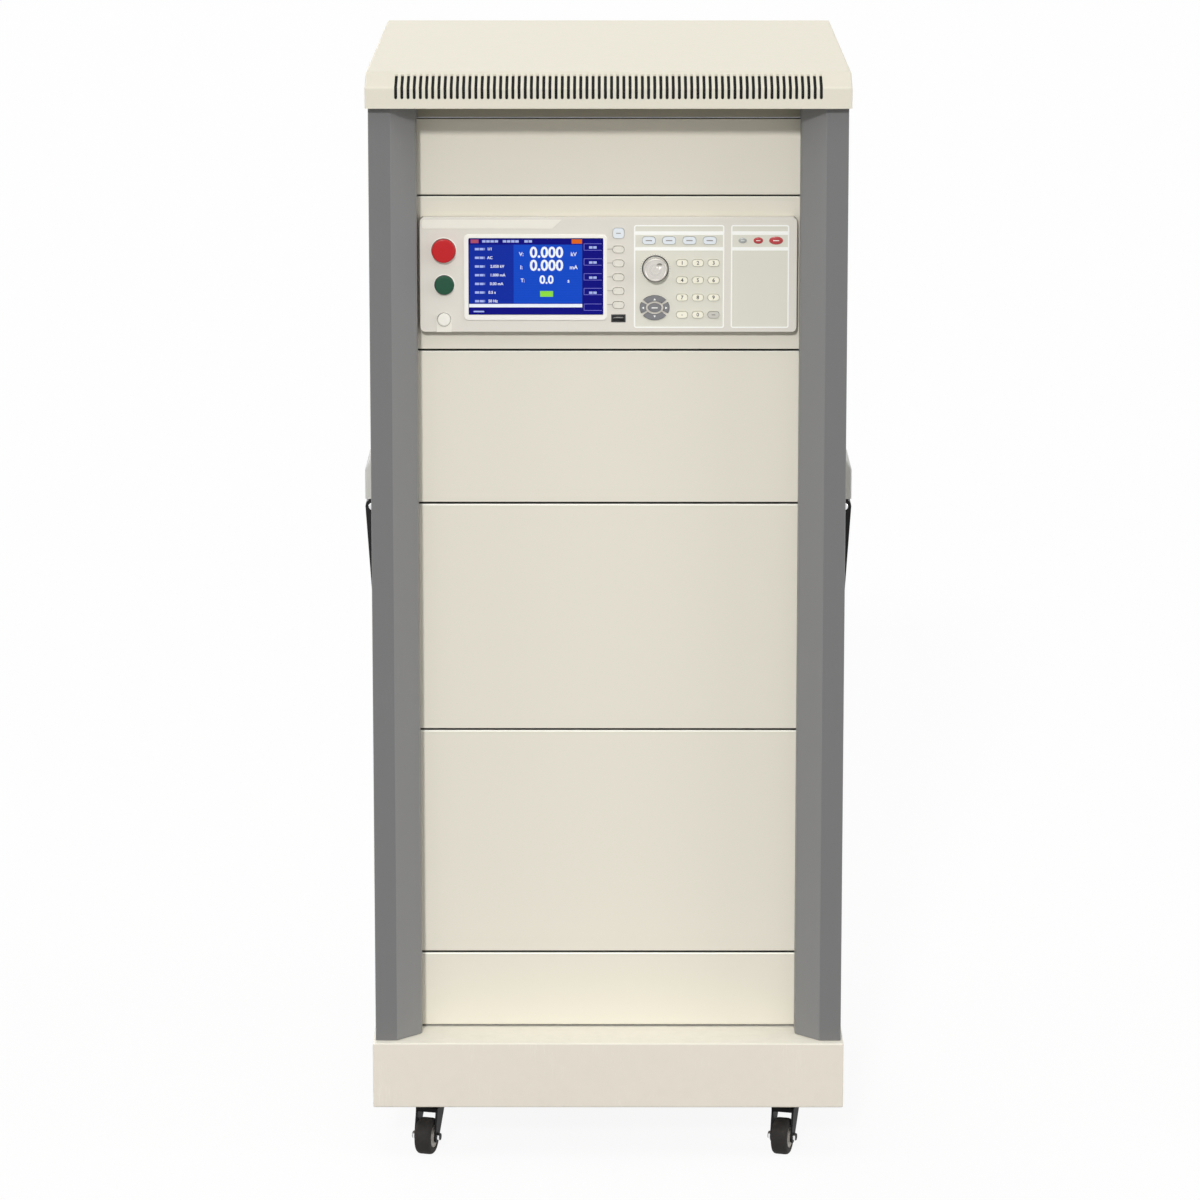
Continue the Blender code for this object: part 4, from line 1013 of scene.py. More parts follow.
def rim_edges(low: Vector, high: Vector, front_only: bool = False) -> Test:
    """Picks the outer edges of a box-shaped piece.

    Args:
        low: the box's lowest corner.
        high: its highest corner.
        front_only: takes only the edges round its -Y face.

    Returns:
        A test of an edge's middle and direction.
    """

    def test(at: Vector, way: Vector) -> bool:
        """Whether the edge lies on two of the box's faces."""
        faces = [near(at[i], low[i]) or near(at[i], high[i]) for i in range(3)]
        return sum(faces) >= 2 and (not front_only or near(at.y, low.y))

    return test


@dataclass
class HoodCover:
    """The hood: a folded cover with a row of slots over its front bend, and a header under it."""

    height: float = 38.0 * MM
    sheet: float = 2.0 * MM
    bevel_rise: float = 14.0 * MM
    bevel_depth: float = 36.0 * MM
    flange: float = 32.0 * MM
    fold: float = 2.4 * MM
    slot_count: int = 70
    slot_pitch: float = 6.9 * MM
    slot_width: float = 3.4 * MM
    slot_lift: float = 10.5 * MM
    slot_reach: float = 30.0 * MM

    def _form(self, name: str, low: Vector, high: Vector, rise: float, depth: float) -> Piece:
        """A block whose front top edge falls towards the front.

        Args:
            name: its name.
            low: its lowest corner.
            high: its highest corner.
            rise: the fall of the slope.
            depth: how far back the slope starts.

        Returns:
            The form.
        """
        form = Piece.block(name, low, high)
        form.slice((0.0, low.y + depth, 0.0), (0.0, 1.0, 0.0))
        form.move(lambda at, way: near(at.y, low.y) and near(at.z, high.z), (0.0, 0.0, -rise))
        form.edit()
        bpy.ops.mesh.select_all(action="SELECT")
        bpy.ops.mesh.dissolve_limited(angle_limit=math.radians(1.0))
        return form.close()

    def _slots(self, low: Vector, high: Vector) -> Piece:
        """The cutter for the slots: one round-ended slot, repeated."""
        first = -self.slot_pitch * (self.slot_count - 1) / 2
        half = self.slot_width / 2
        foot, back = low.z + self.slot_lift, low.y + self.slot_reach
        cutter = Piece.block("slot_cutter", (first - half, low.y - 0.01, foot), (first + half, back, high.z + 0.01))
        cutter.round(lambda at, way: (abs(way.y) > 0.9 and near(at.z, foot)) or (abs(way.z) > 0.9 and near(at.y, back)),
                     half * 0.97, 4)
        return cutter.row(self.slot_count, (self.slot_pitch, 0.0, 0.0))

    def build(self) -> None:
        """Models the cover, a near-black sheet behind its slots as painted shade, and its header."""
        header_low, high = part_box("hood")
        low = Vector((header_low.x, header_low.y, high.z - self.height))
        slope = math.atan2(self.bevel_rise, self.bevel_depth)
        drop = self.sheet / math.cos(slope) - self.sheet * math.tan(slope)
        rise = self.bevel_rise - self.sheet + drop
        wall = Vector((self.sheet,) * 3)
        cover = self._form("hood_cover", low, high, self.bevel_rise, self.bevel_depth)
        cover.round(lambda at, way: at.z > low.z + MM, self.fold, 4)
        cover.cut(self._form("hood_hollow", low + wall, high - wall, rise, rise / math.tan(slope)))
        panel_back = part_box("blank_panel_top")[1].y
        cover.cut(Piece.block("hood_opening", (low.x + self.flange, panel_back + self.flange, low.z - 0.01),
                              (high.x - self.flange, high.y - self.flange, low.z + 0.01)))
        cover.cut(self._slots(low, high))
        cover.smooth(32.0).dress(Paint.TRIM).ride("cabinet", "cream_trim", ["hood"])

        half = high.x - self.flange
        # Painted shade: a near-black sheet just behind the slots makes them read dark.
        slot_shade = Piece.block("hood_filter", (-half, low.y + self.sheet + 0.6 * MM, low.z + 6.0 * MM),
                           (half, low.y + self.sheet + 1.8 * MM, high.z - self.bevel_rise - 3.0 * MM))
        slot_shade.extrude(lambda at, way: way.z > 0.9, (0.0, self.bevel_depth - 5.0 * MM, self.bevel_rise - 1.9 * MM))
        slot_shade.soften(0.3 * MM, 2).dress(Paint.FOAM).ride("cabinet")

        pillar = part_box("right_pillar")[0].x
        header = Piece.block("header_strip", (0.3 * MM - pillar, panel_back - self.sheet, header_low.z),
                             (pillar - 0.3 * MM, panel_back, low.z + self.sheet / 2))
        header.extrude(lambda at, way: way.y > 0.9 and at.z < low.z, (0.0, 6.0 * MM, 0.0), (1.0, 1.0, 0.9))
        header.round(lambda at, way: near(at.y, panel_back - self.sheet), 0.6 * MM, 3)
        # The header's darker paint is painted shade from the hood above it.
        header.smooth().dress(Paint.HEADER).ride("cabinet", "cream_trim")


@dataclass
class Plinth:
    """The folded base with its four caster plates."""

    height: float = 77.0 * MM
    fold: float = 1.6 * MM

    def build(self) -> None:
        """Rounds the folds of the base."""
        low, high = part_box("base_plinth")
        foot = Vector((low.x, low.y, high.z - self.height))
        base = Piece.from_node("base_plinth", "plinth_body")
        base.round(rim_edges(foot, high), self.fold, 4)
        base.smooth().dress(Finish("plinth_paint", tone("dfd8cb"), 0.6, 650.0, 0.00005, 0.035, dust=0.3,
                                   dust_height=0.2, scuff=0.15, shine=0.2))
        # The ledge's lighter paint is painted light from above.
        base.accent(Paint.LEDGE, lambda at, way: way.z > 0.5 and at.z > high.z - MM).ride("cabinet", "cream_trim")


@dataclass
class FrontPillars:
    """The two folded grey pillars."""

    fold: float = 0.8 * MM

    def build(self) -> None:
        """Rounds the folds of both pillars."""
        for side in Side:
            pillar = Piece.from_node(f"{side.word}_pillar")
            pillar.soften(self.fold, 3, 25.0).smooth(30.0)
            # The front flat faces are painted darker than the facets, as painted shade.
            pillar.dress(Paint.PILLAR).accent(Paint.PILLAR_FLAT, lambda at, way: way.y < -0.97)
            pillar.ride("cabinet", "grey_pillar")


@dataclass
class RackPanels:
    """The plain rack panels and the plate round the instrument."""

    edge: float = 1.6 * MM
    seam: float = 1.1 * MM
    names: tuple[str, ...] = ("blank_panel_top", "instrument_surround", "blank_panel_upper", "blank_panel_middle",
                              "blank_panel_lower", "blank_panel_bottom")

    def build(self) -> None:
        """Lifts each panel's lower front edge off the next one and rounds its front edges."""
        for name in self.names:
            low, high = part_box(name)
            panel = Piece.from_node(name, f"{name}_plate")
            panel.move(lambda at, way: near(at.z, low.z) and near(at.y, low.y), (0.0, 0.0, self.seam))
            low.z += self.seam
            panel.round(rim_edges(low, high, front_only=True), self.edge, 3)
            # Each panel's rounded top edge gets a painted highlight; the top panel's gets painted shade instead, under
            # the header.
            lip = Paint.SEAM if name == self.names[0] else Paint.PANEL_EDGE
            panel.smooth().dress(panel_paint(name)).accent(lip, lambda at, way: way.z > 0.25)
            # Painted shade: flat top faces and downward faces are painted near black so the seams read dark.
            panel.accent(Paint.SEAM, lambda at, way: way.z > 0.97 or way.z < -0.5).ride("cabinet", "cream_panel")


@dataclass
class LiftingSide:
    """One side of the cabinet: its sheet, and the cap, ears, pin and grip of its lifting handle."""

    side: Side
    sheet: float = 2.0 * MM
    back_return: float = 20.0 * MM
    reach: float = 18.0 * MM
    length: float = 130.0 * MM
    pin_radius: float = 2.5 * MM
    head_radius: float = 4.5 * MM
    head_length: float = 1.5 * MM
    cap_height: float = 52.0 * MM
    cap_slope: float = 15.5 * MM
    ear: float = 5.0 * MM
    ear_spacing: float = 84.0 * MM

    def _corners(self, first: Sequence[float], last: Sequence[float]) -> tuple[Vector, Vector]:
        """Two corners written for the right side, put on this side with the lowest first."""
        sign = self.side.value
        low, high = sorted((sign * first[0], sign * last[0]))
        return Vector((low, first[1], first[2])), Vector((high, last[1], last[2]))

    def build(self) -> None:
        """Models this side's pieces."""
        sign, word = self.side.value, self.side.word
        node = f"{word}_side_panel"
        low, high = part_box(node)
        side_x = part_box("hood")[1].x - 3.0 * MM
        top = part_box(f"{word}_handle_grip")[1].z

        sheet = Piece.block(f"{word}_side_sheet", *self._corners((side_x - self.sheet, low.y, low.z),
                                                                 (side_x, high.y, high.z)))
        sheet.slice((0.0, high.y - self.sheet, 0.0), (0.0, 1.0, 0.0))
        sheet.extrude(lambda at, way: way.x * sign < -0.9 and at.y > high.y - self.sheet,
                      (-sign * (self.back_return - self.sheet), 0.0, 0.0))
        sheet.round(lambda at, way: abs(way.z) > 0.9 and near(abs(at.x), side_x), 1.5 * MM, 4)
        sheet.smooth().dress(panel_paint(node)).ride("cabinet", "cream_panel", [node])

        foot, peak = top + 0.3 * MM, top + 0.3 * MM + self.cap_height
        cap = Piece.block(f"{word}_handle_cap", *self._corners((side_x - 0.2 * MM, -self.length / 2, foot),
                                                               (side_x + self.reach, self.length / 2, peak)))
        cap.slice((0.0, 0.0, peak - self.cap_slope), (0.0, 0.0, 1.0))
        cap.move(lambda at, way: near(at.z, peak) and abs(at.x) > side_x + MM, (-sign * self.reach * 0.545, 0.0, 0.0))
        cap.round(lambda at, way: abs(at.x) > side_x + MM and at.z > foot + MM, 2.4 * MM, 4)
        cap.inset(lambda at, way: way.z < -0.9, 1.8 * MM, -2.5 * MM)
        cap.smooth().dress(Paint.CAP).ride("cabinet", "black_plastic")

        pin_x = side_x + self.reach / 2 + 0.5 * MM
        knuckle = self.reach / 2 - 0.5 * MM
        pin_z = top - knuckle
        ear = Piece.block(f"{word}_handle_ear_front", *self._corners(
            (side_x - 0.5 * MM, -self.ear_spacing / 2 - self.ear / 2, pin_z - knuckle / 2),
            (pin_x + knuckle / 2, -self.ear_spacing / 2 + self.ear / 2, pin_z + knuckle / 2)))
        ear.round(lambda at, way: abs(way.y) > 0.9 and abs(at.x) > pin_x, knuckle * 0.42, 4)
        ear.smooth().dress(Paint.CAP)
        rear = ear.copy(f"{word}_handle_ear_rear", (0.0, self.ear_spacing, 0.0))
        for piece in (ear, rear):
            piece.ride("cabinet")

        end = self.length / 2 + 0.3 * MM
        shaft, head, top_radius = self.pin_radius, self.head_radius, self.head_radius * 0.6
        pin = Piece.turned(f"{word}_handle_pin", (sign * pin_x, end + self.head_length, pin_z), [
            (top_radius, 0.0), (head * 0.9, 0.25 * MM), (head, 0.7 * MM), (head, self.head_length),
            (shaft, self.head_length), (shaft, self.head_length + 2 * end), (head, self.head_length + 2 * end),
            (head, 2 * end + 2 * self.head_length - 0.7 * MM), (head * 0.9, 2 * end + 2 * self.head_length - 0.25 * MM),
            (top_radius, 2 * end + 2 * self.head_length)], 24)
        pin.smooth().dress(Paint.BRIGHT).ride("cabinet")

        grip = Piece.from_node(f"{word}_handle_grip")
        grip.soften(1.3 * MM, 3, 45.0).smooth(40.0).dress(Paint.BLACK)
        grip.ride(f"{word}_handle_grip", "black_plastic")


@dataclass
class RearDoor:
    """The louvred rear door and its quarter-turn latch."""

    louvre: tuple[float, float] = (172.0 * MM, 9.0 * MM)
    louvre_proud: float = 5.0 * MM
    louvre_sheet: float = 1.0 * MM
    count: int = 9
    pitch: float = 26.0 * MM
    column: float = 105.0 * MM
    zone: float = 330.0 * MM
    fold: float = 1.6 * MM

    def build(self) -> None:
        """Models the louvre hoods and rounds the door and the latch."""
        low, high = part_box("rear_door")
        middle = (low + high) / 2
        door = Piece.from_node("rear_door", "rear_door_tray")
        door.round(lambda at, way: near(at.y, high.y) and (abs(at.x) > abs(low.x) - 0.1 * MM or abs(
            at.z - middle.z) > high.z - middle.z - 8.0 * MM), self.fold, 4)
        door.smooth().dress(panel_paint("rear_door")).ride("rear_door", "cream_panel")

        wide, tall = self.louvre
        lowest = middle.z - self.zone - self.pitch * (self.count - 1) / 2
        hood = Piece.block("door_louvres", (-self.column - wide / 2, high.y, lowest - 3.0 * MM),
                           (-self.column + wide / 2, high.y + self.louvre_proud, lowest - 3.0 * MM + tall))
        face, top = high.y + self.louvre_proud, lowest - 3.0 * MM + tall
        hood.round(lambda at, way: abs(way.x) > 0.9 and near(at.y, face) and near(at.z, top), 4.2 * MM, 6)
        hood.round(lambda at, way: abs(way.x) < 0.9 and at.y > high.y + 0.3 * MM and abs(
            abs(at.x + self.column) - wide / 2) < 0.1 * MM and at.z > lowest - 2.5 * MM, 0.8 * MM, 2)
        hood.open_up(lambda at, way: way.z < -0.9 or way.y < -0.9)
        hood.modifier("SOLIDIFY", thickness=self.louvre_sheet, offset=-1.0, use_even_offset=True)
        hood.row(self.count, (0.0, 0.0, self.pitch)).row(2, (2 * self.column, 0.0, 0.0))
        hood.row(2, (0.0, 0.0, 2 * self.zone))
        hood.smooth(32.0).dress(Paint.PANEL).ride("rear_door", "cream_panel")

        latch = Piece.from_node("door_latch")
        latch.soften(0.5 * MM, 3, 45.0).smooth(35.0).dress(Paint.LATCH).ride("door_latch", "black_plastic")


@dataclass
class InnerFrame:
    """The welded frame and the instrument's case, which keep their CAD shapes."""

    nodes: tuple[str, ...] = ("rack_frame", "instrument_case")

    def build(self) -> None:
        """Gives the CAD pieces their zinc finish."""
        for name in self.nodes:
            node = frame["nodes"][name]
            node.data.materials.clear()
            node.data.materials.append(Paint.ZINC.make())
            LOG.info("%s: keeps its CAD shape, zinc finish", name)


@dataclass
class Casters:
    """Four swivel casters, modelled once and copied."""

    yaw: float = math.radians(-16.0)
    radius: float = 21.5 * MM
    half_tyre: float = 9.5 * MM
    half_hub: float = 10.4 * MM
    nut_radius: float = 4.9 * MM
    nut_length: float = 4.4 * MM
    arm: float = 13.4 * MM  # from the wheel's middle to a fork arm's outer face
    places: tuple[str, ...] = ("front_left", "front_right", "rear_left", "rear_right")

    def _axle(self, place: str) -> Vector:
        """The middle of one caster's axle."""
        low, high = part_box(f"caster_wheel_{place}")
        return Vector(((low.x + high.x) / 2, (low.y + high.y) / 2, self.radius))

    def _nut(self, at: Vector, way: Vector) -> Piece:
        """A domed hexagon nut at the axle's end.

        Args:
            at: the fork arm's outer face, on the axle.
            way: outwards along the axle.

        Returns:
            The nut.
        """
        nut = Piece.turned("caster_nut", at, [(self.nut_radius, 0.0), (self.nut_radius, self.nut_length * 0.6),
                                              (self.nut_radius * 0.97, self.nut_length * 0.66)], 6, way)
        dome = Piece.turned("caster_nut_dome", at, [
            (self.nut_radius * 0.8, self.nut_length * 0.5), (self.nut_radius * 0.78, self.nut_length * 0.75),
            (self.nut_radius * 0.66, self.nut_length * 0.95), (self.nut_radius * 0.45, self.nut_length * 1.1),
            (self.nut_radius * 0.15, self.nut_length * 1.17)], 24, way)
        return nut.cut(dome, Cut.ON).soften(0.25 * MM, 2, 50.0).smooth()

    def build(self) -> None:
        """Models one caster's pieces and copies them to the four places."""
        first = self.places[0]
        middle = self._axle(first)
        axle = Vector((math.cos(self.yaw), math.sin(self.yaw), 0.0))
        tyre, hub, r = self.half_tyre, self.half_hub, self.radius
        half = [(9.0 * MM, -8.0 * MM), (13.1 * MM, -8.0 * MM), (14.2 * MM, -tyre), (r - 3.4 * MM, -tyre),
                (r - 1.9 * MM, -tyre + 0.5 * MM), (r - 0.6 * MM, -tyre + 1.9 * MM), (r - 0.1 * MM, -tyre + 3.6 * MM),
                (r, -tyre + 5.5 * MM)]
        rubber = half + [(radius, -along) for radius, along in reversed(half)]
        start = rubber[0][1]
        wheel = Piece.turned(f"caster_tyre_{first}", middle + axle * start,
                             [(radius, along - start) for radius, along in rubber], 72, axle)
        wheel.smooth(30.0).dress(Paint.TYRE)
        half = [(5.4 * MM, -hub), (6.0 * MM, -hub + 0.2 * MM), (7.0 * MM, -8.9 * MM), (11.6 * MM, -8.7 * MM),
                (12.2 * MM, -9.3 * MM), (13.0 * MM, -9.2 * MM)]
        plastic = half + [(radius, -along) for radius, along in reversed(half)]
        disc = Piece.turned(f"caster_hub_{first}", middle + axle * plastic[0][1],
                            [(radius, along - plastic[0][1]) for radius, along in plastic], 48, axle)
        disc.smooth(30.0).dress(Paint.HUB)
        fork = Piece.from_node(f"caster_fork_{first}")
        fork.soften(0.5 * MM, 2, 50.0).smooth(30.0).dress(Paint.FORK)
        nuts = [self._nut(middle + axle * sign * self.arm, axle * sign).dress(Paint.BRIGHT) for sign in (-1, 1)]
        for nut, word in zip(nuts, ("left", "right")):
            nut.obj.name = f"caster_nut_{word}_{first}"
        for place in self.places:
            by = self._axle(place) - middle
            for piece, kind, body in ((wheel, "tyre", "wheel"), (disc, "hub", "wheel"), (fork, "fork_body", "fork"),
                                      (nuts[0], "nut_left", "fork"), (nuts[1], "nut_right", "fork")):
                here = piece
                if place != first:
                    stem = "caster_fork" if kind == "fork_body" else f"caster_{kind}"
                    tail = f"{place}_body" if kind == "fork_body" else place
                    here = piece.copy(f"{stem}_{tail}", by)
                    if "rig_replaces" in here.obj:
                        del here.obj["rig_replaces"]
                stands_for = [f"caster_{body}_{place}"] if kind in ("tyre", "fork_body") else []
                slot = {"tyre": "tyre_rubber", "fork_body": "fork_black"}.get(kind)
                here.ride(f"caster_{body}_{place}", slot, stands_for)

# The instrument


class Ink:
    """The instrument's finishes."""

    BEZEL = Finish("bezel_paint", tone("dfdad0"), 0.5, 1400.0, 0.00003, 0.03)
    # Painted shade: the bezel's side and bottom faces get a darker copy of its paint.
    BEZEL_SIDE = Finish("bezel_side_paint", tone("a39d90"), 0.5, 1400.0, 0.00003, 0.03)
    TITLE = Finish("title_strip_paint", tone("eeeade"), 0.45, 1600.0, 0.00002, 0.02)
    LABEL = Finish("label_sheet", tone("dddbcd"), 0.42, 2200.0, 0.00001, 0.03)
    WHITE = Finish("white_ink", tone("fbfbf6"), 0.5, 2000.0, 0.00001, 0.03)
    # Dark ink for printed figures; also painted shade in the rings round the buttons and the knob.
    DARK = Finish("dark_ink", tone("3b3a3a"), 0.55, 2000.0, 0.00001, 0.1)
    # Grey ink for printed marks; also painted shade on the upper wall of the knob's dimple.
    GREY = Finish("grey_ink", tone("8f8b84"), 0.55, 2000.0, 0.00001, 0.1)
    FRAME = Finish("display_frame_plastic", tone("f4f1ea"), 0.42, 1500.0, 0.00002, 0.02)
    RED = Finish("red_button_plastic", tone("bf141b"), 0.4, 1800.0, 0.00001, 0.08, coat=0.25, shine=0.2)
    GREEN = Finish("green_button_plastic", tone("124a32"), 0.4, 1800.0, 0.00001, 0.08, coat=0.25, shine=0.2)
    POWER = Finish("power_button_plastic", tone("efece2"), 0.38, 1800.0, 0.00001, 0.04, coat=0.2)
    COLLAR = Finish("collar_plastic", tone("f3f0e8"), 0.42, 1500.0, 0.00002, 0.03)
    BLUISH = Finish("bluish_key_rubber", tone("e3e9ee"), 0.55, 1700.0, 0.00003, 0.03)
    SOFT = Finish("soft_key_rubber", tone("e2ded2"), 0.55, 1700.0, 0.00003, 0.03)
    CREAM = Finish("number_key_rubber", tone("f3efdc"), 0.55, 1700.0, 0.00003, 0.03)
    CLEAR = Finish("clear_key_rubber", tone("c9c6bd"), 0.55, 1700.0, 0.00003, 0.03)
    ARROW = Finish("arrow_key_rubber", tone("77777a"), 0.5, 1700.0, 0.00003, 0.06)
    USB = Finish("usb_port_plastic", (0.012, 0.012, 0.013), 0.4, 1600.0, 0.00002, 0.2)
    GLASS = Finish("display_glass", tone("080a68"), 0.1, 60.0, 0.000002, 0.05, glow=0.25, shine=0.15)
    NAVY = Light("lit_navy", tone("07076a"))
    BLUE = Light("lit_blue", tone("092487"))
    BRIGHT = Light("lit_bright_blue", tone("0d3da8"))
    LIT = Light("lit_white", tone("ccd0d8"))
    PALE = Light("lit_violet", tone("6765b6"))
    LILAC = Light("lit_lilac", tone("8f9ccb"))
    ORANGE = Light("lit_orange", tone("bd5616"))
    ROSE = Light("lit_rose", tone("944358"))
    GREENISH = Light("lit_green", tone("78bd36"))
    LAMP_RED = Finish("red_lamp_window", tone("b3262b"), 0.25, 900.0, 0.00001, 0.1, coat=0.5)
    LAMP_GREY = Finish("grey_lamp_window", tone("a5a8a6"), 0.3, 900.0, 0.00001, 0.1, coat=0.5)


AHEAD = 5.0  # how far the cutter of a hole stands out of the face, in millimetres
BEHIND = 8.0  # and how far it reaches behind the face
CAP_HEIGHT = 0.7  # a figure's height for each unit of its font's size


@dataclass
class Face:
    """The instrument's face as a drawing board: places in millimetres from the bezel's middle."""

    middle_z: float = field(default_factory=lambda: mid("instrument_bezel").z)
    front: float = field(default_factory=lambda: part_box("instrument_bezel")[0].y)

    def plate(self, name: str, at: tuple[float, float], size: tuple[float, float], proud: float,
              corner: float = 0.0, sunk: float = 0.0, steps: int = 4) -> Piece:
        """A flat plate on the face, with rounded corners.

        Args:
            name: the piece's name.
            at: its middle, to the right and up, in millimetres.
            size: its width and height in millimetres.
            proud: how far it stands out of the face, in millimetres.
            corner: the radius of its corners, in millimetres.
            sunk: how deep it starts behind the face, in millimetres.
            steps: facets in each corner.

        Returns:
            The plate.
        """
        x, z = at[0] * MM, self.middle_z + at[1] * MM
        half_x, half_z = size[0] * MM / 2, size[1] * MM / 2
        plate = Piece.block(name, (x - half_x, self.front - proud * MM, z - half_z),
                            (x + half_x, self.front + sunk * MM, z + half_z))
        if corner:
            plate.round(lambda where, way: abs(way.y) > 0.9, corner * MM, steps)
        return plate

    def ring(self, name: str, at: tuple[float, float], size: tuple[float, float], proud: float, corner: float,
             width: float) -> Piece:
        """A raised line round a rounded rectangle.

        Args:
            name: the piece's name.
            at: its middle in millimetres.
            size: its outer width and height in millimetres.
            proud: how far it stands out, in millimetres.
            corner: the outer corners' radius in millimetres.
            width: the line's width in millimetres.

        Returns:
            The ring.
        """
        outer = self.plate(name, at, size, proud, corner)
        inside = (size[0] - 2 * width, size[1] - 2 * width)
        return outer.cut(self.plate("ring_inside", at, inside, proud + 1.0, max(0.2, corner - width), 1.0))

    def words(self, name: str, text: str, at: tuple[float, float], height: float, proud: float,
              bold: float = 0.0) -> Piece:
        """Plain figures, cut out of thin sheet.

        Args:
            name: the piece's name.
            text: the figures.
            at: their middle in millimetres.
            height: how tall a figure is, in millimetres.
            proud: how far they stand out of the face, in millimetres.
            bold: how far each stroke is widened, in millimetres.

        Returns:
            The figures as one mesh.
        """
        unpick()
        bpy.ops.object.text_add(location=(0.0, 0.0, 0.0))
        made = bpy.context.active_object
        made.data.body = text
        made.data.align_x, made.data.align_y = "CENTER", "CENTER"
        made.data.size = height * MM / CAP_HEIGHT
        made.data.extrude = 0.03 * MM
        made.data.offset = bold * MM
        made.data.resolution_u = 3
        bpy.ops.object.convert(target="MESH")
        made = bpy.context.active_object
        made.name = made.data.name = name
        made.rotation_euler = (math.pi / 2, 0.0, 0.0)
        made.location = (at[0] * MM, self.front - proud * MM, self.middle_z + at[1] * MM)
        return Piece(made).apply_place()


def merge(name: str, pieces: Sequence[Piece]) -> Piece:
    """Joins pieces into one object.

    Args:
        name: the joined piece's name.
        pieces: what is joined.

    Returns:
        The joined piece.
    """
    unpick()
    for piece in pieces:
        piece.obj.select_set(True)
    bpy.context.view_layer.objects.active = pieces[0].obj
    if len(pieces) > 1:
        bpy.ops.object.join()
    whole = Piece(bpy.context.active_object)
    whole.obj.name = whole.obj.data.name = name
    return whole


@dataclass
class KeyPlan:
    """One push key: its CAD node, its cap's corner and its finish."""

    node: str
    finish: Finish
    slot: str
    corner: float = 3.2
    legend: str = ""
    bar: tuple[float, float] = (0.0, 0.0)


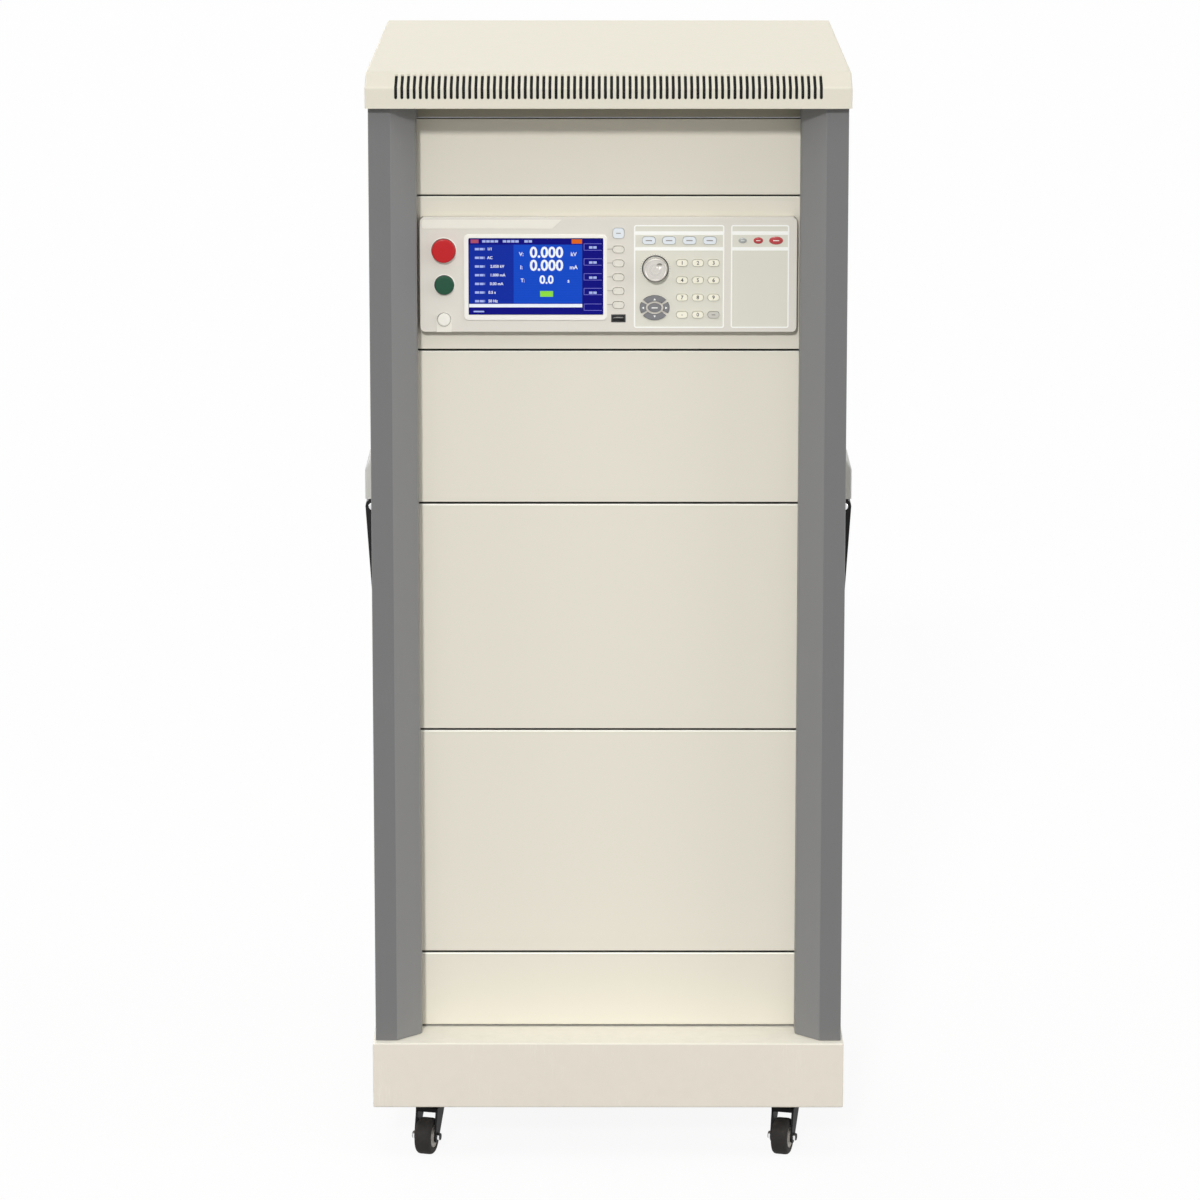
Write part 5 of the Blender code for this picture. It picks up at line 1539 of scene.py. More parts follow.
@dataclass
class Keys:
    """Every push key of the instrument."""

    face: Face
    rim: float = 0.55
    proud: float = 1.8
    gap: float = 0.45
    flange: float = 1.2  # of each key, hidden behind the bezel

    def plans(self) -> list[KeyPlan]:
        """Every flat key that is modelled new, in the order of the rows."""
        found = [KeyPlan("lock_key", Ink.BLUISH, "white_key", 3.2, bar=(5.4, 1.0))]
        found += [KeyPlan(f"soft_key_{i}", Ink.SOFT, "white_key") for i in range(1, 6)]
        found += [KeyPlan(f"menu_key_{i}", Ink.BLUISH, "white_key", bar=(7.4, 1.2)) for i in range(1, 5)]
        found += [KeyPlan(f"number_key_{i}", Ink.CREAM, "cream_key", legend=str(i)) for i in range(10)]
        found.append(KeyPlan("number_key_point", Ink.CREAM, "cream_key", legend="."))
        found.append(KeyPlan("number_key_clear", Ink.CLEAR, "cream_key", bar=(4.4, 1.3)))
        return found

    def centre(self, node: str) -> tuple[float, float]:
        """A key's middle on the face, in millimetres."""
        here = mid(node)
        return here.x / MM, (here.z - self.face.middle_z) / MM

    def size(self, node: str) -> tuple[float, float]:
        """A key cap's width and height, in millimetres, without its flange."""
        low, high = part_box(node)
        return (high.x - low.x) / MM - 2 * self.flange, (high.z - low.z) / MM - 2 * self.flange

    def cutters(self) -> list[Piece]:
        """One cutter for each key's hole, a little larger than the cap."""
        return [self.face.plate(f"hole_{plan.node}", self.centre(plan.node),
                                tuple(s + 2 * self.gap for s in self.size(plan.node)), AHEAD,
                                plan.corner + self.gap, BEHIND) for plan in self.plans()]

    def build(self) -> None:
        """Models a cap for each key, with its figure or mark."""
        for plan in self.plans():
            at, size = self.centre(plan.node), self.size(plan.node)
            cap = self.face.plate(f"{plan.node}_cap", at, size, self.proud, plan.corner, 3.0)
            top = self.face.front - self.proud * MM
            if plan.node.startswith("soft"):
                cap.inset(lambda where, way: way.y < -0.9, 1.5 * MM, 0.0)
                cap.inset(lambda where, way: way.y < -0.9 and abs(where.x - at[0] * MM) < 0.5 * MM, 0.25 * MM,
                          -0.35 * MM)
            cap.round(lambda where, way: near(where.y, top) and self._outer(where, at, size, plan.corner),
                      self.rim * MM, 3)
            cap.smooth(40.0).dress(plan.finish).ride(plan.node, plan.slot, [plan.node])
            if plan.legend:
                high = 4.1 if plan.legend != "." else 5.0
                figure = self.face.words(f"{plan.node}_figure", plan.legend, at, high, self.proud + 0.03, 0.12)
                if plan.legend == ".":
                    figure.shift((0.0, 0.0, 1.6 * MM))
                figure.dress(Ink.DARK).ride(plan.node)
            elif plan.bar[0]:
                mark = self.face.plate(f"{plan.node}_mark", at, plan.bar, self.proud + 0.05, plan.bar[1] * 0.45,
                                       -self.proud + 0.1)
                mark.soften(0.02 * MM, 1).dress(Ink.GREY).ride(plan.node)
        self._pad()

    @staticmethod
    def _outer(where: Vector, at: tuple[float, float], size: tuple[float, float], corner: float) -> bool:
        """Whether an edge's middle lies on the cap's outer rim."""
        x = abs(where.x / MM - at[0])
        return x > size[0] / 2 - corner * 0.75 or x < size[0] / 2 - corner + 0.01 and \
            abs(where.z - mid_z(at)) / MM > size[1] / 2 - 0.02

    def _pad(self) -> None:
        """The arrow pad: softened caps, arrows and the mark on the middle key."""
        for word, lean in (("up", 0.0), ("left", 90.0), ("down", 180.0), ("right", -90.0)):
            node = f"arrow_key_{word}"
            cap = Piece.from_node(node, f"{node}_cap")
            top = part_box(node)[0].y
            cap.round(lambda where, way: near(where.y, top), 0.4 * MM, 3)
            cap.smooth(40.0).dress(Ink.ARROW).ride(node, "dark_key")
            x, z = self.centre(node)
            arrow = Piece.rod(f"{node}_arrow", (0.0, 0.0, 0.0), 1.7 * MM, 0.1 * MM, 3)
            arrow.round(lambda where, way: abs(way.y) > 0.9, 0.25 * MM, 2)
            arrow.obj.rotation_euler = (0.0, -math.radians(lean), 0.0)
            arrow.obj.location = (x * MM, self.face.front - self.proud * MM - 0.08 * MM, self.face.middle_z + z * MM)
            arrow.apply_place().dress(Ink.WHITE).ride(node)
        cap = Piece.from_node("enter_key", "enter_key_cap")
        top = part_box("enter_key")[0].y
        cap.round(lambda where, way: near(where.y, top), 0.5 * MM, 3)
        cap.smooth(40.0).dress(Ink.ARROW).ride("enter_key", "dark_key")
        mark = self.face.plate("enter_key_mark", self.centre("enter_key"), (7.2, 1.1), self.proud + 0.06, 0.6,
                               -self.proud + 0.1)
        mark.soften(0.02 * MM, 1).dress(Ink.WHITE).ride("enter_key")


def mid_z(at: tuple[float, float]) -> float:
    """A place on the face as a world height."""
    return mid("instrument_bezel").z + at[1] * MM


@dataclass
class Bezel:
    """The instrument's front: a shallow tray with its holes, strips, printed lines and display frame."""

    face: Face
    keys: Keys
    corner: float = 6.0
    wall: float = 2.5
    edge: float = 1.4
    menu: tuple[float, float, float, float] = (80.3, -1.9, 102.6, 118.0)  # middle and size of the menu field
    side: tuple[float, float, float, float] = (172.3, -1.9, 66.0, 118.0)
    line: float = 1.5
    lip: float = 0.9  # by which a piece behind the face is wider than its hole

    def _round_holes(self) -> list[Piece]:
        """Cutters for the round buttons, the knob's shaft, the arrow pad, the screen and the USB port."""
        found = []
        start, depth, lip = self.face.front - AHEAD * MM, (AHEAD + BEHIND) * MM, self.lip * MM
        for node in ("stop_button", "start_button", "power_button"):
            low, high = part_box(node)
            radius = (high.x - low.x) / 2 - lip
            found.append(Piece.rod(f"hole_{node}", (mid(node).x, start, mid(node).z), radius, depth, 48))
        here = mid("rotary_knob")
        found.append(Piece.rod("hole_knob", (here.x, start, here.z), 3.3 * MM, depth, 24))
        low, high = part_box("arrow_key_left")[0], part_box("arrow_key_right")[1]
        up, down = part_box("arrow_key_up")[1].z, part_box("arrow_key_down")[0].z
        pad = Piece.rod("hole_pad", (0.0, start, 0.0), 1.0, depth, 64)
        pad.obj.scale = ((high.x - low.x) / 2 - 0.2 * MM, 1.0, (up - down) / 2 - 0.2 * MM)
        pad.obj.location = ((high.x + low.x) / 2, 0.0, (up + down) / 2)
        found.append(pad.apply_place())
        for node in ("display_screen", "usb_port"):
            low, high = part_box(node)
            found.append(Piece.block(f"hole_{node}", (low.x + lip, start, low.z + lip),
                                     (high.x - lip, self.face.front + BEHIND * MM, high.z - lip)))
        return found

    def _field(self, name: str, spot: tuple[float, float, float, float], cutter: Piece) -> list[Piece]:
        """A tinted field with its white line and its two white bands.

        Args:
            name: the field's name.
            spot: its middle and size in millimetres.
            cutter: the keys' holes.

        Returns:
            The white pieces, to be joined.
        """
        x, z, wide, high = spot
        sheet = self.face.plate(f"{name}_field", (x, z), (wide - 1.0, high - 1.0), 0.06, 2.0)
        tool = cutter.copy(f"{name}_holes", (0.0, 0.0, 0.0))
        sheet.cut(tool).dress(Ink.LABEL).ride("cabinet", "bezel_grey")
        top = z + high / 2
        bands = [self.face.plate(f"{name}_band_{i}", (x, top - down), (wide - 2 * self.line, tall), 0.16, 0.4)
                 for i, (down, tall) in enumerate(((9.2, 4.2), (27.2, 4.0)))]
        return [self.face.ring(f"{name}_line", (x, z), (wide, high), 0.18, 2.6, self.line)] + bands

    def build(self) -> None:
        """Models the tray and everything printed on it."""
        low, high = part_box("instrument_bezel")
        tray = Piece.block("bezel_tray", low, high)
        tray.round(lambda at, way: abs(way.y) > 0.9, self.corner * MM, 6)
        tray.round(lambda at, way: near(at.y, low.y), self.edge * MM, 4)
        wall = self.wall * MM
        hollow = Piece.block("bezel_hollow", (low.x + wall, low.y + wall, low.z + wall),
                             (high.x - wall, high.y + 0.01, high.z - wall))
        hollow.round(lambda at, way: abs(way.y) > 0.9, (self.corner - self.wall) * MM, 4)
        tray.cut(hollow)
        cutter = merge("face_holes", self.keys.cutters() + self._round_holes())
        spare = cutter.copy("face_holes_spare", (0.0, 0.0, 0.0))
        tray.cut(cutter)
        tray.smooth(32.0).dress(Ink.BEZEL)
        # The sides and underside of the tray are painted darker, as painted shade.
        tray.accent(Ink.BEZEL_SIDE, lambda at, way: at.y > low.y + 0.1 * MM and (abs(way.x) > 0.3 or way.z < -0.3))
        tray.ride("cabinet", "bezel_grey", ["instrument_bezel"])
        web = Piece.from_node("instrument_bezel", "arrow_pad_web")
        pad = mid("enter_key")
        keep = Piece.block("web_keep", (pad.x - 19 * MM, low.y - MM, pad.z - 16.5 * MM),
                           (pad.x + 19 * MM, low.y + 2.2 * MM, pad.z + 16.5 * MM))
        web.cut(keep, Cut.WITHIN)
        oval = Piece.rod("web_oval", (0.0, low.y - 2 * MM, 0.0), 1.0, 6 * MM, 64)
        oval.obj.scale = (17.4 * MM, 1.0, 14.75 * MM)
        oval.obj.location = (pad.x, 0.0, pad.z)
        web.cut(oval.apply_place(), Cut.WITHIN)
        web.shift((0.0, 0.02 * MM, 0.0)).dress(Ink.BEZEL).ride("cabinet", "bezel_grey")

        white = self._field("menu", self.menu, spare) + self._field("side", self.side, spare)
        bpy.data.objects.remove(spare.obj, do_unlink=True)
        merge("printed_lines", white).soften(0.03 * MM, 1, 50.0).dress(Ink.WHITE).ride("cabinet", "bezel_grey")

        strip = self.face.plate("title_strip", (-132.6, 58.0), (159.0, 10.2), 0.5, 0.0)
        right = -53.1 * MM
        strip.move(lambda at, way: at.x > right - MM and at.z < self.face.middle_z + 55 * MM, (-11.0 * MM, 0.0, 0.0))
        strip.round(lambda at, way: abs(way.y) > 0.9 and at.x < -0.2, 3.0 * MM, 4)
        strip.round(lambda at, way: near(at.y, self.face.front - 0.5 * MM), 0.25 * MM, 2)
        strip.smooth().dress(Ink.TITLE).ride("cabinet", "bezel_grey")

        glass_low, glass_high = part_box("display_screen")
        rim = self.face.plate("display_frame", (-83.0, -2.9), (163.0, 98.6), 1.3, 5.0, 0.0, 6)
        rim.cut(Piece.block("display_opening", (glass_low.x + MM, low.y - 5 * MM, glass_low.z + MM),
                            (glass_high.x - MM, low.y + 5 * MM, glass_high.z - MM)))
        rim.round(lambda at, way: near(at.y, self.face.front - 1.3 * MM) and
                  (abs(at.x + 0.083) > 0.0775 or abs(at.z - mid_z((0, -2.9))) > 0.0455), 1.1 * MM, 4)
        rim.smooth(40.0).dress(Ink.FRAME).ride("cabinet", "bezel_grey")

        here = mid("power_button")
        tab = self.face.plate("power_tab", (here.x / MM, -56.4), (17.0, 18.6), 0.45, 0.0)
        tab.round(lambda at, way: abs(way.y) > 0.9 and at.z > here.z, 6.5 * MM, 6)
        tab.round(lambda at, way: near(at.y, self.face.front - 0.45 * MM), 0.3 * MM, 2)
        radius = (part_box("power_button")[1].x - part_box("power_button")[0].x) / 2 - self.lip * MM
        tab.cut(Piece.rod("tab_hole", (here.x, low.y - 5 * MM, here.z), radius, 10 * MM, 48))
        tab.smooth().dress(Ink.TITLE).ride("cabinet", "bezel_grey")
        self._leads()

    def _leads(self) -> None:
        """The thin printed lines from the display to its keys."""
        lines = []
        for i in range(1, 6):
            x, z = self.keys.centre(f"soft_key_{i}")
            lines.append(self.face.plate(f"lead_{i}", ((x - 6.6 - 1.4) / 2, z + 0.3), (x - 6.6 + 1.4, 0.55), 0.07,
                                         0.2))
        merge("printed_leads", lines).soften(0.02 * MM, 1, 50.0).dress(Ink.GREY).ride("cabinet", "bezel_grey")


@dataclass
class Display:
    """The lit display: plates and figures in front of the glass."""

    face: Face
    depth: float = -0.42  # of the lit plates, behind the bezel's face
    rim: float = 1.2  # from the glass's sides to the lit area
    row: float = 9.95  # from one line of the left column to the next
    key_row: float = 17.3  # from one key's name to the next

    def _bar(self, name: str, left: float, right: float, top: float, bottom: float, lift: float = 0.0) -> Piece:
        """A plate by its sides, in millimetres from the screen's left and top edges."""
        low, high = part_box("display_screen")
        x = (low.x + self.rim * MM) / MM
        z = (high.z - self.rim * MM - self.face.middle_z) / MM
        return self.face.plate(name, (x + (left + right) / 2, z - (top + bottom) / 2), (right - left, bottom - top),
                               self.depth + lift, 0.0, -(self.depth + lift) + 0.05)

    def _text(self, name: str, text: str, left: float, top: float, height: float, bold: float = 0.0) -> Piece:
        """Figures by their middle, in millimetres from the screen's left and top edges."""
        low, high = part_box("display_screen")
        at = ((low.x + self.rim * MM) / MM + left, (high.z - self.rim * MM - self.face.middle_z) / MM - top)
        return self.face.words(name, text, at, height, self.depth + 0.16, bold)

    def build(self) -> None:
        """Models the display's fields, bars and figures."""
        glass = Piece.from_node("display_screen", "display_glass")
        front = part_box("display_screen")[0].y
        glass.round(lambda at, way: near(at.y, front), 0.3 * MM, 2)
        glass.smooth().dress(Ink.GLASS).ride("cabinet", "screen_glass")
        fields = {
            "screen_navy": (Ink.NAVY, [(0.4, 129.2, 0.4, 7.4), (129.8, 152.6, 0.4, 87.3), (0.4, 129.2, 80.2, 87.3)]),
            "screen_column": (Ink.BLUE, [(0.4, 51.0, 7.5, 75.0)]),
            "screen_centre": (Ink.BRIGHT, [(51.1, 129.2, 7.5, 75.0)]),
            "screen_white_bar": (Ink.LIT, [(0.4, 129.2, 75.5, 79.4)]),
        }
        for name, (finish, bars) in fields.items():
            plates = [self._bar(f"{name}_{i}", *bar) for i, bar in enumerate(bars)]
            merge(name, plates).soften(0.015 * MM, 1).dress(finish).ride("cabinet", "screen_glass")

        pale = [self._bar(f"label_{i}_{n}", left, right, 11.3 + self.row * i, 13.9 + self.row * i, 0.12)
                for i in range(7) for n, (left, right) in enumerate(((7.2, 11.8), (12.5, 17.1), (17.9, 18.5)))]
        pale += [self._bar(f"heading_{i}", left, left + 3.9, 2.4, 5.1, 0.12)
                 for i, left in enumerate((15.5, 20.2, 24.9, 29.6, 39.0, 43.7, 48.4, 53.1, 63.5, 68.2))]
        pale += [self._bar(f"key_name_{i}", 137.0 + 4.7 * (i % 2), 140.9 + 4.7 * (i % 2),
                           9.3 + self.key_row * (i // 2), 12.0 + self.key_row * (i // 2), 0.12) for i in range(8)]
        pale.append(self._bar("foot_note", 5.5, 17.5, 83.4, 85.0, 0.12))
        readings = (("1/1", 24.0), ("AC", 24.2), ("2.050 kV", 32.5), ("1.000 mA", 33.0), ("0.00 mA", 31.7),
                    ("0.5 s", 26.6), ("50 Hz", 27.6))
        white = [self._text(f"row_{i}", text, middle, 12.6 + self.row * i, 3.1, 0.09)
                 for i, (text, middle) in enumerate(readings)]
        white += [self._text("reading_voltage", "0.000", 88.6, 16.9, 12.0, 0.5),
                  self._text("reading_current", "0.000", 88.6, 31.8, 12.0, 0.5),
                  self._text("reading_time", "0.0", 88.6, 48.0, 9.2, 0.4),
                  self._text("sign_voltage", "V:", 60.0, 18.6, 4.4, 0.1),
                  self._text("unit_voltage", "kV", 119.4, 18.6, 4.4, 0.1),
                  self._text("sign_current", "I:", 60.0, 33.6, 4.4, 0.1),
                  self._text("unit_current", "mA", 119.4, 33.6, 4.4, 0.1),
                  self._text("sign_time", "T:", 61.5, 48.6, 4.0, 0.1),
                  self._text("unit_time", "s", 113.5, 49.0, 4.4, 0.1)]
        merge("screen_figures", white).dress(Ink.LIT).ride("cabinet", "screen_glass")
        merge("screen_labels", pale).soften(0.01 * MM, 1).dress(Ink.LILAC).ride("cabinet", "screen_glass")

        boxes = []
        for i, top in enumerate((6.2, 23.3, 40.4, 57.2, 75.2)):
            sides = ((131.0, 151.4, top, top + 0.55), (131.0, 151.4, top + 7.4, top + 7.95),
                     (131.0, 131.55, top, top + 7.9))
            boxes += [self._bar(f"box_{i}_{n}", *side, 0.1) for n, side in enumerate(sides)]
        merge("screen_boxes", boxes).soften(0.01 * MM, 1).dress(Ink.PALE).ride("cabinet", "screen_glass")
        small = ((Ink.ORANGE, "screen_badge", (117.2, 129.0, 1.3, 6.3)),
                 (Ink.ROSE, "screen_first_tab", (2.4, 11.4, 1.6, 5.8)),
                 (Ink.GREENISH, "screen_state", (81.2, 96.0, 60.6, 67.2)))
        for finish, name, bar in small:
            self._bar(name, *bar, 0.13).soften(0.03 * MM, 1).dress(finish).ride("cabinet", "screen_glass")


@dataclass
class Controls:
    """The round buttons, the knob, the indicators and the USB port."""

    face: Face
    bore: float = 20.0 * MM  # the length of the tools that bore rings
    dimple: float = 5.2  # the radius of the knob's finger dimple, in millimetres
    scale: float = 16.6  # the radius of the knob's dotted scale, in millimetres
    scale_dots: int = 27
    scale_start: float = -40.0
    scale_step: float = 10.0
    lamp_row: float = 39.4  # the indicators' height on the face, in millimetres

    def _button(self, node: str, radius: float, proud: float, finish: Finish, slot: str, collar: float) -> None:
        """A crowned button in its collar.

        Args:
            node: the CAD node it stands for.
            radius: its radius in millimetres.
            proud: how far it stands out of the face, in millimetres.
            finish: its finish.
            slot: the record's material slot.
            collar: the collar's width in millimetres.
        """
        here = mid(node)
        at = Vector((here.x, self.face.front + 2.0 * MM, here.z))
        steps = [(radius, 0.0), (radius, proud + 0.6), (radius - 0.15, proud + 1.2), (radius - 0.6, proud + 1.62),
                 (radius * 0.9, proud + 1.8), (radius * 0.7, proud + 1.9), (radius * 0.4, proud + 1.97),
                 (radius * 0.1, proud + 2.0)]
        cap = Piece.turned(f"{node}_cap", at, [(r * MM, d * MM) for r, d in steps], 64)
        cap.smooth(50.0).dress(finish).ride(node, slot, [node])
        rim = radius + collar
        seat, tool = at - Vector((0, 1.9 * MM, 0)), (here.x, self.face.front - AHEAD * MM, here.z)
        ring = Piece.turned(f"{node}_collar", seat, [
            (rim * MM, 0.0), (rim * MM, 0.35 * MM), ((rim - 0.3) * MM, 0.75 * MM), ((rim - 0.7) * MM, 0.9 * MM),
            ((radius + 0.75) * MM, 0.9 * MM)], 64)
        ring.cut(Piece.rod("collar_bore", tool, (radius + 0.7) * MM, self.bore, 64))
        ring.smooth(50.0).dress(Ink.COLLAR).ride("cabinet", "bezel_grey")
        # Painted shade: a dark ring fills the gap between the button and its collar.
        gap = Piece.turned(f"{node}_gap", seat, [
            ((radius + 0.66) * MM, 0.0), ((radius + 0.66) * MM, 0.16 * MM), ((radius + 0.3) * MM, 0.2 * MM)], 64)
        gap.cut(Piece.rod("gap_bore", tool, (radius + 0.12) * MM, self.bore, 64))
        gap.dress(Ink.DARK).ride("cabinet")

    def _knob(self) -> None:
        """The knob with its fluted side, raised rim, finger dimple and dotted scale."""
        here = mid("rotary_knob")
        low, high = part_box("rotary_knob")
        radius = (high.x - low.x) / 2 / MM
        proud = (self.face.front - low.y) / MM
        steps = [(radius - 0.1, 0.0), (radius, 0.7), (radius - 0.1, 1.6), (radius - 0.5, proud - 2.6),
                 (radius - 0.9, proud - 1.2), (radius - 1.5, proud - 0.6), (radius - 2.0, proud - 0.45),
                 (radius - 2.3, proud - 0.75), (radius - 2.8, proud - 1.1), (radius * 0.3, proud - 1.0)]
        at = Vector((here.x, self.face.front - 0.4 * MM, here.z))
        knob = Piece.turned("rotary_knob_cap", at, [(r * MM, d * MM) for r, d in steps], 72)
        knob.choose(lambda where, way: abs(way.y) < 0.3 and near(where.y, at.y - (1.6 + proud - 2.6) / 2 * MM, MM)
                    and int(round(math.degrees(math.atan2(where.z - at.z, where.x - at.x)) / 5 - 0.5)) % 2 == 0)
        bpy.ops.mesh.inset(thickness=0.12 * MM, depth=-0.4 * MM, use_individual=True)
        knob.close()
        unpick()
        dip = at + Vector((4.6, -proud - 2.65, 4.2)) * MM
        bpy.ops.mesh.primitive_uv_sphere_add(segments=32, ring_count=16, radius=self.dimple * MM, location=dip)
        bpy.ops.object.transform_apply(location=True)
        knob.cut(Piece(bpy.context.active_object))
        metal = Turned("knob_turned_metal", tone("cfcbc4"), 0.35, 900.0, 0.00002, 0.04, metal=0.4, axis=tuple(at))
        # Painted shade: the dimple's downward-facing wall is painted grey.
        knob.smooth(30.0).dress(metal).accent(Ink.GREY, lambda where, way: way.z < -0.1 and near(
            (where - dip).length, self.dimple * MM, 0.2 * MM)).ride("rotary_knob", "knob_metal", ["rotary_knob"])
        # Painted shadow: a dark ring just wider than the knob lies round its foot.
        seat = Piece.turned("knob_seat", at + Vector((0.0, 0.38 * MM, 0.0)), [
            ((radius + 1.4) * MM, 0.0), ((radius + 1.3) * MM, 0.2 * MM), (4.0 * MM, 0.24 * MM)], 64)
        seat.cut(Piece.rod("seat_bore", (here.x, self.face.front - AHEAD * MM, here.z), 3.2 * MM, self.bore, 32))
        seat.smooth(50.0).dress(Ink.DARK).ride("cabinet")
        dots = []
        for i in range(self.scale_dots):
            turn = math.radians(self.scale_start + i * self.scale_step)
            dot = Piece.rod(f"scale_{i}", (0.0, 0.0, 0.0), 0.42 * MM, 0.1 * MM, 8)
            dots.append(dot.shift((at.x + self.scale * MM * math.cos(turn), self.face.front - 0.1 * MM,
                                   at.z + self.scale * MM * math.sin(turn))))
        merge("knob_scale", dots).soften(0.03 * MM, 1).dress(Ink.GREY).ride("cabinet", "bezel_grey")

    def _lamps(self) -> None:
        """The three oval indicator windows."""
        for name, x, wide, high, finish in (("indicator_left", 152.4, 9.4, 6.3, Ink.LAMP_GREY),
                                            ("indicator_middle", 170.2, 10.8, 7.5, Ink.LAMP_RED),
                                            ("indicator_right", 190.4, 15.8, 9.2, Ink.LAMP_RED)):
            dome = Piece.turned(name, (0.0, 0.0, 0.0), [
                (0.5, 0.0), (0.5, 0.0004), (0.48, 0.0008), (0.4, 0.0011), (0.2, 0.00128), (0.05, 0.0013)], 48)
            dome.obj.scale = (wide * MM, 1.0, high * MM)
            dome.obj.location = (x * MM, self.face.front + 0.1 * MM, self.face.middle_z + self.lamp_row * MM)
            dome.apply_place().smooth(50.0).dress(finish).ride("cabinet")
            mark = self.face.plate(f"{name}_mark", (x, self.lamp_row), (wide * 0.44, high * 0.1), 1.27, high * 0.05,
                                   -1.0)
            mark.soften(0.03 * MM, 1).dress(Ink.WHITE).ride("cabinet")

    def build(self) -> None:
        """Models every control but the flat keys."""
        self._button("stop_button", 13.4, 7.0, Ink.RED, "red_button", 1.5)
        self._button("start_button", 10.8, 5.0, Ink.GREEN, "green_button", 1.5)
        self._button("power_button", 7.4, 3.0, Ink.POWER, "white_key", 0.9)
        self._knob()
        self._lamps()
        port = Piece.from_node("usb_port", "usb_port_body")
        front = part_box("usb_port")[0].y
        port.round(lambda at, way: near(at.y, front), 0.35 * MM, 2)
        port.smooth().dress(Ink.USB).ride("cabinet", "black_plastic")
        here = mid("usb_port")
        tongue = Piece.block("usb_tongue", (here.x - 5.6 * MM, self.face.front + 0.2 * MM, here.z - 1.15 * MM),
                             (here.x + 5.6 * MM, self.face.front + 8.0 * MM, here.z + 1.15 * MM))
        tongue.round(lambda at, way: near(at.y, self.face.front + 0.2 * MM), 0.4 * MM, 3)
        tongue.smooth().dress(Ink.FRAME).ride("cabinet")


# The studio


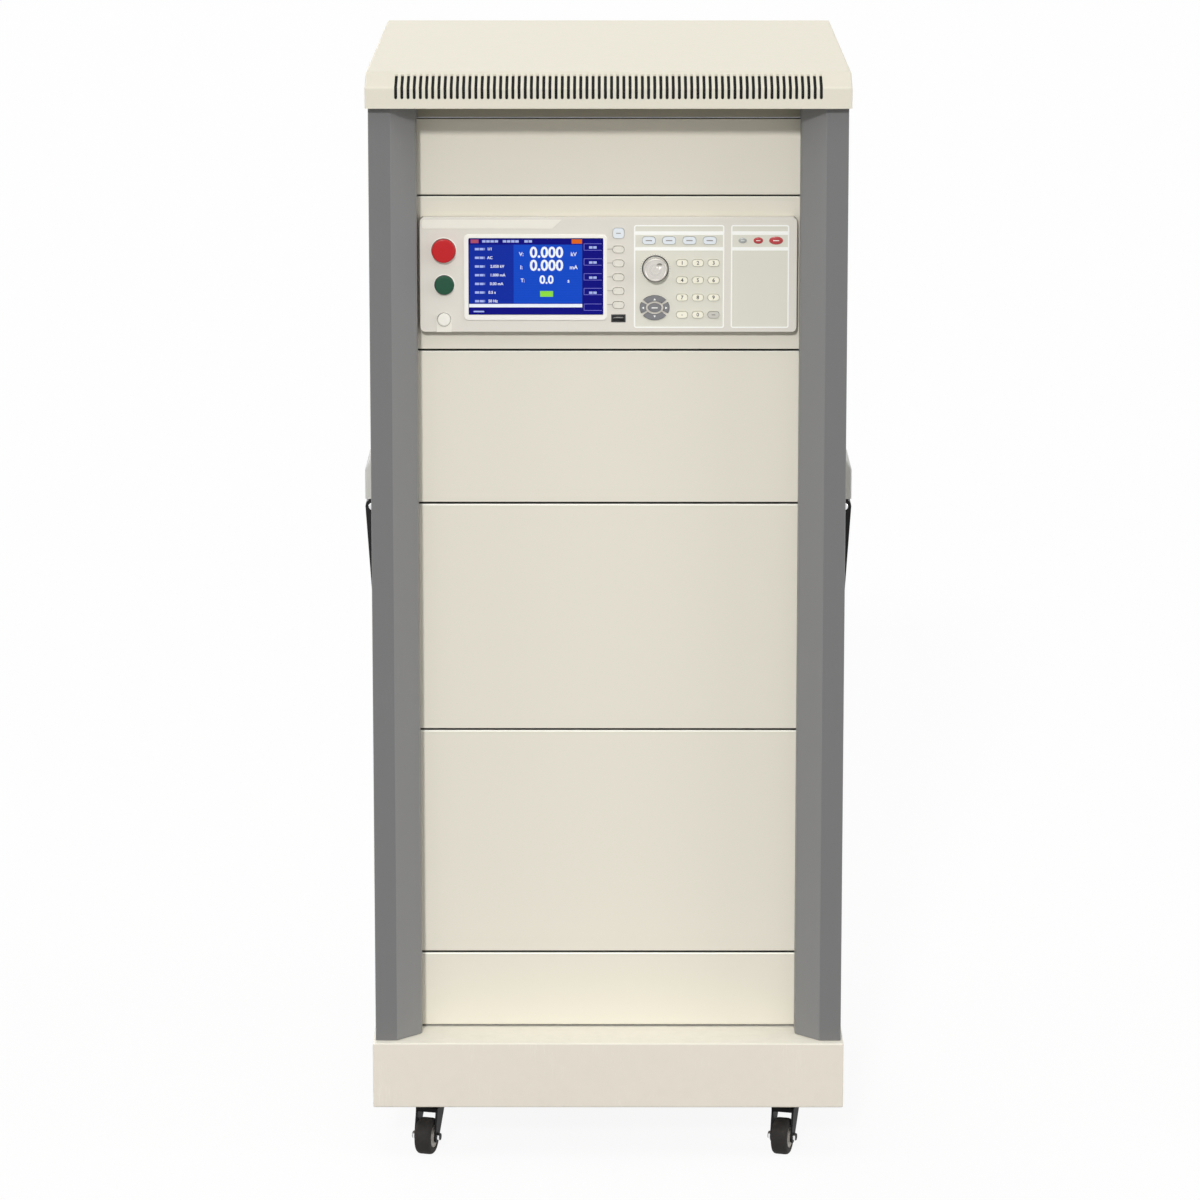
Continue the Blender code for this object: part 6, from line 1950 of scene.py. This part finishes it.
@dataclass
class Studio:
    """The pale floor, the soft lamps, the plain world and the camera."""

    camera_at: tuple[float, float, float] = (0.0, -6.3, 1.888)
    look_at: tuple[float, float, float] = (-0.0095, -0.325, 0.668)
    lens: float = 160.5
    film: float = 36.0
    floor_half: float = 40.0
    ambient: float = 0.3
    lamps: tuple[tuple[str, float, float, float, float], ...] = (
        ("key_lamp", 8.0, 26.0, 0.53, 5.0), ("top_lamp", 0.0, 70.0, 0.22, 40.0), ("side_lamp", -75.0, 15.0, 0.34, 30.0),
        ("far_side_lamp", 80.0, 15.0, 0.26, 30.0), ("back_lamp", 165.0, 20.0, 0.42, 30.0))

    def _lamp(self, name: str, azimuth: float, elevation: float, level: float, spread: float) -> None:
        """A distant soft lamp.

        Args:
            name: the lamp's name.
            azimuth: degrees from the front towards the viewer's left.
            elevation: degrees above the floor.
            level: how brightly it lights a surface that faces it, 1 for full.
            spread: how wide the lamp looks, in degrees.
        """
        data = bpy.data.lights.new(name, "SUN")
        data.energy = level * math.pi
        data.angle = math.radians(spread)
        lamp = bpy.data.objects.new(name, data)
        bpy.context.scene.collection.objects.link(lamp)
        turn, rise = math.radians(azimuth), math.radians(elevation)
        way = Vector((-math.sin(turn) * math.cos(rise), -math.cos(turn) * math.cos(rise), math.sin(rise)))
        lamp.rotation_mode = "QUATERNION"
        lamp.rotation_quaternion = way.to_track_quat("Z", "Y")
        lamp.location = way * 5.0

    def _floor(self) -> None:
        """A wide pale floor that keeps the object's shadow."""
        floor = Piece.block("studio_floor", (-self.floor_half, -self.floor_half, -0.05),
                            (self.floor_half, self.floor_half, 0.0))
        floor.soften(0.02, 2)
        made = bpy.data.materials.new("studio_floor_paper")
        made.use_nodes = True
        wiring = Wiring(made.node_tree)
        shader = made.node_tree.nodes["Principled BSDF"]
        out = made.node_tree.nodes["Material Output"]
        seen = wiring.seen()
        shade = wiring.mix(seen, (0.34, 0.34, 0.335), (0.82, 0.82, 0.82))
        made.node_tree.links.new(shade, shader.inputs["Base Color"])
        shader.inputs["Roughness"].default_value = 0.9
        shader.inputs["Specular IOR Level"].default_value = 0.1
        white = wiring.add("ShaderNodeEmission", None, Color=(1.0, 1.0, 1.0, 1.0), Strength=1.0)
        mixed = wiring.add("ShaderNodeMixShader", None, i0=wiring.sum("MULTIPLY", seen, 0.92),
                           i1=shader.outputs[0], i2=white.outputs[0])
        made.node_tree.links.new(mixed.outputs[0], out.inputs["Surface"])
        floor.obj.data.materials.append(made)

    def _world(self) -> None:
        """An even light all round, white where it is seen."""
        world = bpy.data.worlds.new("studio_world")
        bpy.context.scene.world = world
        world.use_nodes = True
        wiring = Wiring(world.node_tree)
        seen = wiring.seen()
        level = wiring.add("ShaderNodeMapRange", None, Value=seen, i3=self.ambient, i4=1.0).outputs[0]
        back = world.node_tree.nodes["Background"]
        back.inputs["Color"].default_value = (1.0, 1.0, 1.0, 1.0)
        world.node_tree.links.new(level, back.inputs["Strength"])

    def build(self) -> None:
        """Sets up the floor, the lamps, the world and the camera."""
        scene = bpy.context.scene
        scene.view_settings.view_transform = "Standard"
        self._floor()
        for lamp in self.lamps:
            self._lamp(*lamp)
        self._world()
        data = bpy.data.cameras.new("camera")
        data.lens = self.lens
        data.sensor_width = self.film
        data.clip_end = 200.0
        camera = bpy.data.objects.new("camera", data)
        scene.collection.objects.link(camera)
        camera.location = self.camera_at
        camera.rotation_mode = "QUATERNION"
        camera.rotation_quaternion = (Vector(self.camera_at) - Vector(self.look_at)).to_track_quat("Z", "Y")
        scene.camera = camera


@dataclass
class SafetyTester:
    """The whole tester, sub-assembly by sub-assembly."""

    def assemblies(self) -> list:
        """The sub-assemblies in the order they are built."""
        face = Face()
        keys = Keys(face)
        return [HoodCover(), Plinth(), FrontPillars(), RackPanels(), LiftingSide(Side.LEFT), LiftingSide(Side.RIGHT),
                RearDoor(), InnerFrame(), Bezel(face, keys), Display(face), keys, Controls(face), Casters()]

    def build(self) -> None:
        """Builds every sub-assembly."""
        for part in self.assemblies():
            LOG.info("building %s", type(part).__name__)
            part.build()


def main() -> None:
    """Builds the studio and the tester."""
    logging.basicConfig(level=logging.INFO, format="%(message)s")
    Studio().build()
    SafetyTester().build()


if __name__ == "__main__":
    main()
